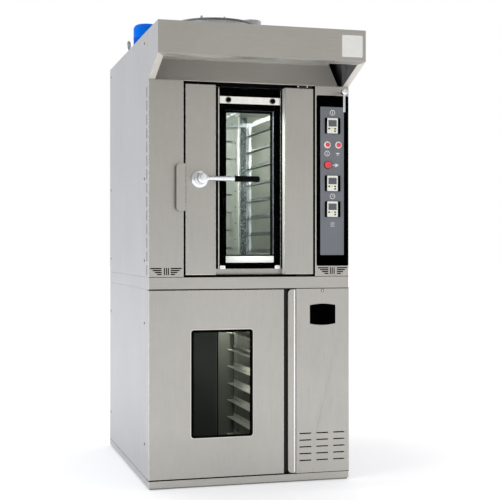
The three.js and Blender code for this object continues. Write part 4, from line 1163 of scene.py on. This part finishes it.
# ---------------------------------------------------------------- oven door
class OVEN_OT_oven_door(bpy.types.Operator):
    """Adds the oven door, its printed glass and the clamps that hold the glass"""

    bl_idname = "rack_oven.oven_door"
    bl_label = "Oven door"

    def execute(self, context):
        self.add_skin()
        self.add_pan()
        self.add_pane()
        self.add_header()
        self.add_knobs()
        self.add_trim()
        self.add_inner_pane()
        return {"FINISHED"}

    def add_skin(self):
        """The folded skin: its recess walls are bright, its edges in the door gap are painted
        near-black as painted shade, and the back of its recess is dark.
        """
        x0, x1, _, y1, z0, z1 = reach("oven_door_shell")
        g0, g1, _, _, low, _ = reach("door_glass")
        form = copied("oven_door_shell", flanks=True)
        # The door's edge faces in the gap get black rubber as painted shade; the back of the
        # recess is painted dark as well.
        for edge in ((x0 - 1, x0 + 1, 1, y1 + 1), (x1 - 1, x1 + 1, 1, y1 + 1),
                     (x0, x1, 1, y1 + 1, z0 - 1, z0 + 1), (x0, x1, 1, y1 + 1, z1 - 1, z1 + 1),
                     (g0 - 16, g1 + 5, 50, y1 + 1, low, z1 + 1)):
            repaint(form, 2, *edge)
        make_piece("oven_door_skin", form, "oven_door",
                   [casing_steel, recess_steel, gasket_rubber], settings().sizes.edge / MM, True,
                   ["oven_door_shell"], folded=True)

    def add_pan(self):
        """The inner pan of the door, with painted shade in slate grey on the walls round its
        window.
        """
        x0, x1, _, _, z0, z1 = reach("door_glass")
        form = copied("oven_door_liner")
        # The walls round the window get slate grey: painted shade.
        repaint(form, 1, x0 + 18, x1 - 14, 60, 120, z0 + 10, z1 - 88)
        form.mesh.normal_update()
        for face in form.mesh.faces:
            if face.normal.y > 0.7:
                face.material_index = 0
        make_piece("oven_door_pan", form, "oven_door", [inner_steel, reveal_painted_shade],
                   0.7, standing_for=["oven_door_liner"])

    def add_pane(self):
        """The outer pane with its black print; the print leaves the view and a low strip, which
        glows as painted light.
        """
        x0, x1, _, back, z0, z1 = reach("door_glass")
        make_piece("door_pane", copied("door_glass"), "glass_sash", [clear_glass],
                   0.4, standing_for=["door_glass"])
        edge, print_back = 0.3, back + 0.15
        view0, view1, split = x0 + 33, x1 - 32, z0 + 62
        form = Form()
        form.band(rounded(x0 + edge, x1 - edge, split, z1 - edge, 1.5),
                  rounded(view0, view1, z0 + 68, z1 - 108, 4), "y", back + 0.02, print_back)
        form.band(rounded(x0 + edge, x1 - edge, z0 + edge, split, 1.5),
                  rounded(view0, view1, z0 + 29, z0 + 61, 2), "y", back + 0.02, print_back)
        form.paint = 1
        form.drawn(rounded(view0 - 1, view1 + 1, z0 + 28, z0 + 61.6, 2), "y", print_back + 0.1,
                   print_back + 0.3)
        make_piece("glass_print", form, "glass_sash", [black_enamel, low_strip_painted_glow],
                   0)

    def add_header(self):
        """The bar across the top of the glass, with a turned seat under each knob."""
        front = reach("glass_header_bar")[2]
        form = copied("glass_header_bar")
        form.paint = 1
        for side in ("left", "right"):
            x, _, z = joint_at(f"{side}_glass_knob_turn")
            form.turned([(15, front + 0.2), (15, front - 0.5), (12.5, front - 0.5),
                         (12.5, front + 0.2)], "y", x, z, 32)
        make_piece("glass_header", form, "glass_sash",
                   [polished_trim, machine_steel], 0.6, standing_for=["glass_header_bar"])

    def add_knobs(self):
        """Fluted thumb knobs that hold the header bar."""
        flutes, depth = 14, 0.5
        for side in ("left", "right"):
            x0, x1, y0, y1, _, _ = reach(f"glass_knob_{side}")
            x, _, z = middle(f"glass_knob_{side}")
            radius, head = (x1 - x0) / 2, y0 + 14
            lobes = []
            for step in range(flutes * 8):
                turn = 2 * math.pi * step / (flutes * 8)
                lobe = radius - depth + depth * math.cos(turn * flutes)
                lobes.append((x + lobe * math.cos(turn), z + lobe * math.sin(turn)))
            form = Form()
            form.drawn(lobes, "y", y0 + 2.5, head)
            form.turned([(0, y0 + 0.6), (6, y0), (radius - 3, y0 + 0.4), (radius - 1.2, y0 + 2.6),
                         (0, y0 + 2.6)], "y", x, z, 40)
            form.paint = 1
            form.rod("y", 4, head - 0.5, y1, x, z, 20, 0.8)
            make_piece(f"thumb_knob_{side}", form, f"{side}_glass_knob",
                       [grip_plastic, machine_steel], 0.3, standing_for=[f"glass_knob_{side}"])

    def add_trim(self):
        """Strips of painted highlight beside the pane, a dark strip on the recess wall beside it
        and the two feet that carry it.
        """
        x0, x1, front, _, z0, z1 = reach("door_glass")
        form = Form()
        form.block(x0 - 6, x0 - 0.8, front - 0.2, front + 3.5, z0, z1)
        form.block(x1 + 0.8, x1 + 3.4, front - 0.2, front + 3.5, z0, z1)
        make_piece("glass_edge_strips", form, "oven_door", [painted_highlight_edge], 0.4)
        form = Form()
        form.block(x1 + 5, x1 + 6.2, front - 10, front + 5, z0, z1)
        make_piece("glass_side_dark_strip", form, "oven_door", [gasket_rubber], 0.2)
        foot, gap, plate = 28, 0.4, front - 3.4
        form = Form()
        for left in (x0 + 1, x1 - 1 - foot):
            outline = rounded(left, left + foot, z0 - 1.5, z0 + 15.5, [0.5, 0.5, 6, 6])
            form.drawn(outline, "y", plate, front - gap)
            form.block(left, left + foot, front - 6, front - gap, z0 - 1.6, z0 + 2.5)
            form.screw("y", -1, plate, left + foot / 2, z0 + 8.5, 3.6, 1.4)
        make_piece("glass_feet", form, "glass_sash", [polished_trim], 0.5)

    def add_inner_pane(self):
        """The inner pane, held to the pan by a near-black frame of painted shade, with a slate
        strip of painted shade beside it.
        """
        x0, x1, _, _, z0, z1 = reach("door_glass")
        x0, x1, z0, z1 = x0 + 29, x1 - 28, z0 + 22, z1 - 104
        back = reach("oven_door_liner")[3]
        rim = rounded(x0 - 1.5, x1 + 1.5, z0 - 1.5, z1 + 1.5, 4)
        form = Form()
        form.drawn(rounded(x0, x1, z0, z1, 3), "y", back - 7, back - 3)
        make_piece("inner_pane", form, "oven_door", [clear_glass], 0.3)
        form = Form()
        form.band(rim, rounded(x0 + 13, x1 - 14, z0 + 42, z1 - 14, 6), "y", back - 9, back - 7.4)
        form.band(rim, rounded(x0 + 10, x1 - 10, z0 + 10, z1 - 8, 6), "y", back - 2.6, back - 0.6)
        # A slate strip of painted shade beside the pane.
        form.paint = 1
        form.block(x1 + 1.8, x1 + 15, back - 9, back - 0.6, z0, z1)
        make_piece("inner_pane_frame", form, "oven_door",
                   [dark_shade, reveal_painted_shade], 0.3)


class OVEN_OT_door_lever(bpy.types.Operator):
    """Adds the door lever with its rosette, boss, bar and grip"""

    bl_idname = "rack_oven.door_lever"
    bl_label = "Door lever"

    def execute(self, context):
        x0, bar_end, y0, _, _, _ = reach("door_lever")
        g0, g1 = reach("lever_grip")[:2]
        x, _, z = joint_at("door_lever_turn")
        bar, bar_y = settings().sizes.bar / MM, y0 + 16
        form = Form()
        form.turned([(0, -0.6), (41.5, -0.6), (41.5, -4), (40, -6.6), (37, -8), (31, -8.4),
                     (28, -10), (26.2, -14), (25.5, -20), (25.5, y0 + 7), (24, y0 + 3),
                     (20.5, y0 + 0.8), (16, y0), (0, y0)], "y", x, z, 72)
        form.turned([(0, x), (bar + 3, x), (bar + 3, x + 26), (bar + 1.5, x + 31), (bar, x + 34),
                     (bar + 2.2, x + 90), (bar + 2.2, g0 - 1.5), (bar + 1, g0 - 0.1),
                     (6, g0 - 0.1), (6, bar_end), (0, bar_end)], "x", bar_y, z, 40)
        form.paint = 1
        form.rod("y", 10, -1, 38, x, z, 32, 1)
        form.block(x0, x, 30, 38, z - 12, z + 12)
        make_piece("lever_body", form, "lever", [bright_steel, machine_steel],
                   0.5, standing_for=["door_lever"])
        grooves = 7
        profile = [(6.6, g0), (11, g0), (12.8, g0 + 1), (13.6, g0 + 4)]
        for index in range(1, grooves + 1):
            along = g0 + 4 + index * (g1 - g0 - 10) / (grooves + 1)
            profile += [(14, along - 2.2), (13.7, along), (14, along + 2.2)]
        profile += [(13.8, g1 - 5), (12.6, g1 - 1.6), (10.5, g1 - 0.2), (6, g1), (0, g1),
                    (0, g1 - 4), (6.6, g1 - 4), (6.6, g0)]
        form = Form()
        form.turned(profile, "x", bar_y, z, 48)
        make_piece("lever_handgrip", form, "lever", [grip_plastic], 0,
                   standing_for=["lever_grip"])
        return {"FINISHED"}


# ---------------------------------------------------------------- control panel
class OVEN_OT_control_panel(bpy.types.Operator):
    """Adds the control panel: its field, generic pictograms, controllers and button rings"""

    bl_idname = "rack_oven.control_panel"
    bl_label = "Control panel"

    def execute(self, context):
        soften("control_panel", "panel_plate", panel_black, 0.6)
        x0, x1, face, _, z0, z1 = reach("control_panel")
        form = Form()
        form.drawn(rounded(x0 + 18, x1 - 24, z0 + 53, z1 - 56, 3), "y", face - 0.35, face + 0.1)
        make_piece("panel_field", form, "cabinet", [membrane_grey], 0.15)
        self.add_pictograms(face)
        self.add_rings(face)
        for index in (1, 2, 3):
            self.add_controller(index)
        return {"FINISHED"}

    def add_pictograms(self, face):
        """Circled bars, lamp, arrow, clock and steam, all of them common signs."""
        front, back = face - 0.55, face - 0.3
        form = Form()

        def circled(x, z):
            form.band(disc(x, z, 13.5), disc(x, z, 10.7), "y", front, back)

        def solid(x, z, corners):
            form.drawn([(x + dx, z + dz) for dx, dz in corners], "y", front, back)

        def stroke(x0, z0, x1, z1, width=2.0):
            along = Vector((x1 - x0, z1 - z0)).normalized() * width / 2
            side = (-along.y, along.x)
            form.drawn([(x0 + side[0], z0 + side[1]), (x1 + side[0], z1 + side[1]),
                        (x1 - side[0], z1 - side[1]), (x0 - side[0], z0 - side[1])],
                       "y", front, back)

        column = middle("controller_1")[0] + 0.5
        start, _, row = middle("button_start")
        for x, z in ((column, reach("controller_1")[5] + 26), (start - 2, row - 43)):
            circled(x, z)
            stroke(x, z - 8, x, z + 8, 2.6)

        x, z = middle("button_light")[0] - 3, row - 43
        solid(x, z, [(-12, 4), (12, 4), (5, -2), (-5, -2)])
        for dx in (-5, 0, 5):
            stroke(x + dx * 0.7, z - 4.5, x + dx, z - 9, 1.8)

        x, _, z = middle("button_stop")
        solid(x + 26, z - 0.5, [(0, -2.5), (14, -3.5), (14, -10.5), (34, 0), (14, 10.5),
                                (14, 3.5), (0, 2.5)])

        x, z = column, reach("controller_2")[4] - 25
        circled(x, z)
        stroke(x, z, x, z + 9)
        stroke(x, z, x + 7, z)

        x, z = column, reach("controller_3")[4] - 44.5
        stroke(x - 10, z, x + 11, z, 2.4)
        for dx in (-7, 0, 7):
            stroke(x + dx - 2, z + 6, x + dx + 2, z + 13, 1.8)
            stroke(x + dx + 2, z + 13, x + dx - 1, z + 20, 1.8)
        make_piece("panel_pictograms", form, "cabinet", [white_print], 0)

    def add_rings(self, face):
        """Light rings under the two small buttons and a dark one under the large."""
        light = (settings().sizes.ring / MM, 10.6, 0)
        dark = (18.5, 17, 1)
        form = Form()
        for kind, (outer, inner, paint) in (("start", light), ("light", light), ("stop", dark)):
            x, _, z = middle(f"button_{kind}")
            form.paint = paint
            form.turned([(inner, face - 0.36), (outer, face - 0.36), (outer, face - 1.6),
                         (outer - 1.4, face - 3), (inner + 1.2, face - 3.2), (inner, face - 2.6),
                         (inner, face - 0.36)], "y", x, z, 48)
        make_piece("button_rings", form, "cabinet", [ring_plastic, panel_black],
                   0.2)

    def add_controller(self, index):
        """A white module on a black backing: window, display, three keys over one."""
        x0, x1, y0, y1, z0, z1 = reach(f"controller_{index}")
        left, right, low, high = x0 + 11, x1 - 14, z0 + 0.8, z1 - 0.8
        display = rounded(left + 5, right - 6, high - 42, high - 10, 1.5)
        form = Form()
        form.drawn(rounded(x0, x1, z0, z1, 2.5), "y", y1 - 4, y1)
        form.paint = 1
        form.drawn(rounded(left, right, low, high, 2.5), "y", y0 + 0.6, y1 - 3.5)
        form.band(rounded(left + 3, right - 4, high - 44, high - 8, 2), display, "y", y0, y0 + 1)
        form.paint = 2
        form.drawn(display, "y", y0 + 0.4, y0 + 1)
        grey, yellow = 3, 4
        for dx, drop, paint in ((9, 56, grey), (24.5, 56, yellow), (40, 56, grey),
                                (40, 68, grey)):
            x, z = left + dx, high - drop
            form.paint = paint
            form.drawn(rounded(x - 5, x + 5, z, z + 7, 1.5), "y", y0 + 0.1, y0 + 1)
        make_piece(f"controller_module_{index}", form, "cabinet",
                   [panel_black, module_plastic, display_glass, key_grey, key_yellow], 0.25,
                   standing_for=[f"controller_{index}"])


class OVEN_OT_buttons(bpy.types.Operator):
    """Adds the three push buttons, which move on their own"""

    bl_idname = "rack_oven.buttons"
    bl_label = "Push buttons"

    def execute(self, context):
        stem, collar = 8, 12
        for kind, radius, dish in (("start", 10, 1.2), ("light", 10, 1.2), ("stop", 16.5, 0)):
            _, _, y0, y1, _, _ = reach(f"button_{kind}")
            x, _, z = middle(f"button_{kind}")
            head = y0 + 9
            form = Form()
            form.turned([(0, y0 + dish), (radius * 0.55, y0 + dish / 2), (radius - 2.2, y0 + 0.1),
                         (radius - 0.7, y0 + 0.9), (radius, y0 + 2.6), (radius, head - 0.6),
                         (radius - 0.6, head), (stem, head), (stem, -3), (collar, -3),
                         (collar, 5), (stem, 5), (stem, y1), (0, y1)], "y", x, z, 44)
            make_piece(f"{kind}_button_cap", form, f"{kind}_button",
                       [button_plastic], 0.3, standing_for=[f"button_{kind}"])
        return {"FINISHED"}


# ---------------------------------------------------------------- damper
class OVEN_OT_damper(bpy.types.Operator):
    """Gives the damper lever, its link and the flap in the flue their finishes"""

    bl_idname = "rack_oven.damper"
    bl_label = "Damper"

    def execute(self, context):
        soften("damper_lever", "damper_handle_bar", bright_steel, 0.7,
               body="damper_handle")
        x, _, z = joint_at("damper_lever_turn")
        front = reach("damper_lever")[2]
        form = Form()
        form.turned([(0, front - 1), (9, front - 1), (13, front - 0.4), (15, front + 2),
                     (15, front + 7), (13.5, front + 8.5), (0, front + 8.5)], "y", x, z, 40)
        make_piece("damper_boss", form, "damper_handle", [bright_steel], 0)
        dress(machine_steel, "damper_link", "damper_flap")
        return {"FINISHED"}


# ---------------------------------------------------------------- inside the oven
class OVEN_OT_chamber(bpy.types.Operator):
    """Finishes the baking chamber and its rack, and adds its lamp, duct edge and ribs"""

    bl_idname = "rack_oven.chamber"
    bl_label = "Baking chamber"

    def execute(self, context):
        dress(inner_steel, "chamber_liner", "air_diffuser", "fan_impeller")
        dress(mineral_wool, "chamber_insulation")
        dress(gasket_rubber, "door_gasket")
        dress(machine_steel, "heating_element", "drive_pinion", "drive_gear", "rack_shaft")
        dress(hinge_steel, "oven_hinge_upper", "oven_hinge_lower")
        dress(motor_paint, "drive_motor")
        self.add_rack()
        self.add_diffuser_trim()
        self.add_wall_ribs()
        self.add_chamber_lamp()
        return {"FINISHED"}

    def add_diffuser_trim(self):
        """The bright duct edge, the pierced strip beside it and a column of screws."""
        _, _, front, _, z0, z1 = reach("air_diffuser")
        edge, strip, screws, pitch = 674, 686, 655, 90
        form = Form()
        form.block(edge, edge + 8, front - 14, front - 0.3, z0 + 2, z1 - 2)
        form.paint = 1
        form.block(strip, strip + 38, front - 3, front - 0.3, z0 + 2, z1 - 2)
        form.paint = 2
        for z in range(int(z0) + 60, int(z1) - 40, pitch):
            form.screw("y", -1, front - 0.3, screws, z, 5, 2)
        make_piece("diffuser_trim", form, "cabinet",
                   [polished_trim, vent_steel, machine_steel], 0.4)

    def add_wall_ribs(self):
        """Upright ribs on the right wall of the chamber."""
        _, wall, front, back, low, high = reach("chamber_liner")
        width, pitch = 36, 130
        form = Form()
        for y in range(int(front) + 260, int(back) - 200, pitch):
            form.block(wall - 9, wall - 2.6, y, y + width, low + 60, high - 60)
        make_piece("wall_ribs", form, "cabinet", [rail_steel], 1.5)

    def add_chamber_lamp(self):
        """A round lamp on the left wall, and the light that it gives."""
        top = reach("air_diffuser")[5]
        y, z = 240, top - 230
        wall = reach("chamber_liner")[0] + 2
        form = Form()
        form.turned([(0, wall + 0.3), (42, wall + 0.3), (42, wall + 4), (38, wall + 6),
                     (38, wall + 3), (0, wall + 3)], "x", y, z, 40)
        form.paint = 1
        form.turned([(0, wall + 3.2), (36, wall + 3.2), (34, wall + 8), (24, wall + 12),
                     (0, wall + 14)], "x", y, z, 40)
        make_piece("chamber_lamp", form, "cabinet", [machine_steel, lamp_glow], 0)
        add_lamp("chamber_light", place(300, 180, top - 60), 0.16, settings().studio.chamber,
                 (0.98, 1, 0.97), place(560, 640, 1500))

    def add_rack(self):
        """The rack: bright posts and head frame, darker tray rails."""
        head, rail = 45 * MM, 24 * MM
        form = copied("rack_frame")
        under_head = max(corner.co.z for corner in form.mesh.verts) - head
        for face in form.mesh.faces:
            heights = [corner.co.z for corner in face.verts]
            if max(heights) < under_head and max(heights) - min(heights) < rail:
                face.material_index = 1
        make_piece("rack_frame_bars", form, "rack", [bright_steel, rail_steel],
                   0.5, standing_for=["rack_frame"])


# ---------------------------------------------------------------- proofer
class OVEN_OT_proofer(bpy.types.Operator):
    """Adds the proofer door, its window, its folded handle and what is seen inside"""

    bl_idname = "rack_oven.proofer"
    bl_label = "Proofer"

    def execute(self, context):
        self.add_door_skin()
        self.add_window()
        self.add_handle()
        self.add_duct()
        self.add_lights()
        dress(proofer_steel, "proofer_liner")
        dress(machine_steel, "proofer_hinge_lower", "proofer_hinge_upper",
              "levelling_foot_front_left", "levelling_foot_front_right",
              "levelling_foot_rear_left", "levelling_foot_rear_right")
        self.add_slides()
        return {"FINISHED"}

    def add_door_skin(self):
        """The folded door skin, with painted shade in its finger groove."""
        x1 = reach("proofer_door")[1]
        # The door's side faces get the cool side steel as painted side light.
        form = copied("proofer_door", flanks=True)
        # Faces in the finger groove get the dark groove steel: painted shade.
        repaint(form, 2, x1 - 60, x1 - 1, 1, 30)
        make_piece("proofer_door_skin", form, "proofing_door",
                   [casing_steel, side_steel, shaded_steel], settings().sizes.edge / MM, True,
                   ["proofer_door"], folded=True)

    def add_window(self):
        """The smoked window, its rubber gasket on both sides and the pale rim pressed round it,
        painted as a highlight.
        """
        x0, x1, y0, y1, z0, z1 = reach("proofer_window")
        outer = rounded(x0, x1, z0, z1, 14, 7)
        form = Form()
        form.band(outer, rounded(x0 + 12, x1 - 11, z0 + 9, z1 - 12, 5, 7), "y", y0, 5)
        form.band(outer, rounded(x0 + 8, x1 - 3, z0 + 3, z1 - 9, 5, 7), "y", 12.5, y1)
        make_piece("window_gasket", form, "proofing_door", [gasket_rubber], 0.8)
        # The rim's pale steel is a painted highlight.
        rim = 4
        form = Form()
        form.band(rounded(x0 - rim, x1 + rim, z0 - rim, z1 + rim, 14 + rim, 7), outer, "y", -0.7,
                  0.3)
        make_piece("window_rim", form, "proofing_door", [lip_steel], 0.4)
        form = Form()
        form.drawn(rounded(x0 + 2, x1 - 2, z0 + 2, z1 - 2, 12, 7), "y", 5.5, 11.5)
        make_piece("window_pane", form, "proofing_door", [smoked_glass], 0.3,
                   standing_for=["proofer_window"])

    def add_handle(self):
        """A long folded pull strip, with a bright bead on its edge as a painted highlight, and
        painted shade in the hollow behind.
        """
        _, x1, y0, _, z0, z1 = reach("proofer_handle")
        form = copied("proofer_handle")
        # Faces behind the strip's front get the dark groove steel: painted shade in the hollow.
        repaint(form, 1, x1 - 37.9, x1 - 0.1, y0 + 0.1, 30)
        # A bright strip along the edge: a painted highlight.
        form.paint = 2
        form.block(x1 - 8.4, x1 - 1.2, y0 - 0.3, y0 + 0.2, z0 + 1, z1 - 1)
        make_piece("proofer_grip", form, "proofing_door",
                   [casing_steel, shaded_steel, polished_trim], settings().sizes.edge / MM, True,
                   ["proofer_handle"], folded=True)

    def add_duct(self):
        """The air duct across the back of the proofer, with its screws, its folded edge, and a
        dark painted shadow line and a lighter painted highlight line beside that edge.
        """
        x0, _, _, _, z0, z1 = reach("proofer_liner")
        side, face, low, high = 524, 758, z0 + 30, z1 - 6
        form = Form()
        form.block(x0 + 3, side, face, face + 3, low, high)
        form.block(side - 3, side, face + 3, 800, low, high)
        for x in (x0 + 20, side - 16):
            for z in (z0 + 80, mean(z0, z1), z1 - 60):
                form.screw("y", -1, face, x, z, 5, 1.6)
        # A near-black strip is a painted shadow line beside the duct's edge, and a lighter strip a
        # painted highlight line.
        for paint, x, width in ((1, side - 8, 5), (2, side - 13, 3)):
            form.paint = paint
            form.block(x, x + width, face - 0.8, face - 0.1, low, high)
        make_piece("proofer_duct", form, "cabinet",
                   [duct_steel, dark_shade, proofer_steel], 0.3)

    def add_lights(self):
        """A light beside the duct and a faint one on the tray slides."""
        x1, _, _, _, top = reach("proofer_liner")[1:]
        level = settings().studio.cabinet
        add_lamp("duct_light", place(545, 800, top - 30), 0.08, level * 14, (1, 0.99, 0.88),
                 place(630, 1009, top - 220))
        add_lamp("proofer_light", place(430, 300, top - 420), 0.06, level, (1, 0.99, 0.9),
                 place(x1 - 30, 430, top - 420))

    def add_slides(self):
        """The tray slides, on their darker upright ladders."""
        slide = 60 * MM
        form = copied("proofer_tray_slides")
        for face in form.mesh.faces:
            heights = [corner.co.z for corner in face.verts]
            if max(heights) - min(heights) > slide:
                face.material_index = 1
        make_piece("tray_slides", form, "cabinet", [slide_steel, proofer_steel],
                   0.4, standing_for=["proofer_tray_slides"])


class OVEN_OT_service_display(bpy.types.Operator):
    """Adds the glossy display and the screw of the service panel"""

    bl_idname = "rack_oven.service_display"
    bl_label = "Service display"

    def execute(self, context):
        x0, x1, front, _, _, z1 = reach("service_panel")
        form = Form()
        form.drawn(self.bowed(x0 + 70, x1 - 71, z1 - 172.4, z1 - 81.4, 7), "y", front - 1.2,
                   front + 0.3)
        make_piece("service_display_glass", form, "cabinet", [black_enamel], 0.7)
        x, z = mean(x0, x1) - 1.5, z1 - 10.4
        form = Form()
        form.screw("y", -1, front, x, z, 5, 1.8)
        # A near-black ring round the screw: painted shade.
        form.paint = 1
        form.band(disc(x, z, 7.4), disc(x, z, 5.1), "y", front - 0.4, front + 0.2)
        make_piece("service_panel_screw", form, "cabinet",
                   [bright_steel, dark_shade], 0)
        return {"FINISHED"}

    def bowed(self, x0, x1, z0, z1, bow):
        """A rectangle whose long edges bulge by bow."""
        steps = 12
        shares = [step / steps for step in range(steps + 1)]
        low = [(mean(x0, x1, share), z0 - bow * math.sin(math.pi * share)) for share in shares]
        high = [(mean(x1, x0, share), z1 + bow * math.sin(math.pi * share)) for share in shares]
        return low + high


class OVEN_OT_fasteners(bpy.types.Operator):
    """Adds the screws that hold the side and back panels"""

    bl_idname = "rack_oven.fasteners"
    bl_label = "Fasteners"

    def execute(self, context):
        radius = settings().sizes.screw / MM
        side_rows, back_rows = (2121, 1472, 1080, 780, 200), (140, 860, 1040, ROOF - 40)
        form = Form()
        for y in (113, DEPTH - 41):
            for z in side_rows:
                form.screw("x", -1, 0, y, z, radius, 1.6)
                form.screw("x", 1, WIDTH, y, z, radius, 1.6)
        make_piece("side_panel_screws", form, "cabinet", [hinge_steel], 0)
        form = Form()
        for x in (60, 300, 500, 700, WIDTH - 60):
            for z in back_rows:
                form.screw("y", 1, DEPTH, x, z, radius, 1.6)
        make_piece("back_panel_screws", form, "cabinet", [machine_steel], 0)
        return {"FINISHED"}


STEPS = (OVEN_OT_studio, OVEN_OT_casings, OVEN_OT_hood, OVEN_OT_roof_gear, OVEN_OT_oven_door,
         OVEN_OT_door_lever, OVEN_OT_control_panel, OVEN_OT_buttons, OVEN_OT_damper,
         OVEN_OT_chamber, OVEN_OT_proofer, OVEN_OT_service_display, OVEN_OT_fasteners)


class OVEN_PT_panel(bpy.types.Panel):
    """The sidebar tab with the settings and the steps in their order"""

    bl_idname = "OVEN_PT_panel"
    bl_label = "Rack oven"
    bl_space_type = "VIEW_3D"
    bl_region_type = "UI"
    bl_category = "Rack oven"

    def draw(self, context):
        layout = self.layout
        for group in (settings().colours, settings().sizes, settings().studio):
            box = layout.box()
            for name in group.__annotations__:
                box.prop(group, name)
        for step in STEPS:
            layout.operator(step.bl_idname)


CLASSES = (OvenColours, OvenSizes, OvenStudio, OvenSettings, *STEPS, OVEN_PT_panel)


def register():
    for cls in CLASSES:
        bpy.utils.register_class(cls)
    bpy.types.Scene.rack_oven = PointerProperty(type=OvenSettings)


def unregister():
    del bpy.types.Scene.rack_oven
    for cls in reversed(CLASSES):
        bpy.utils.unregister_class(cls)


def main():
    register()
    for step in STEPS:
        group, name = step.bl_idname.split(".")
        getattr(getattr(bpy.ops, group), name)()


if __name__ == "__main__":
    main()
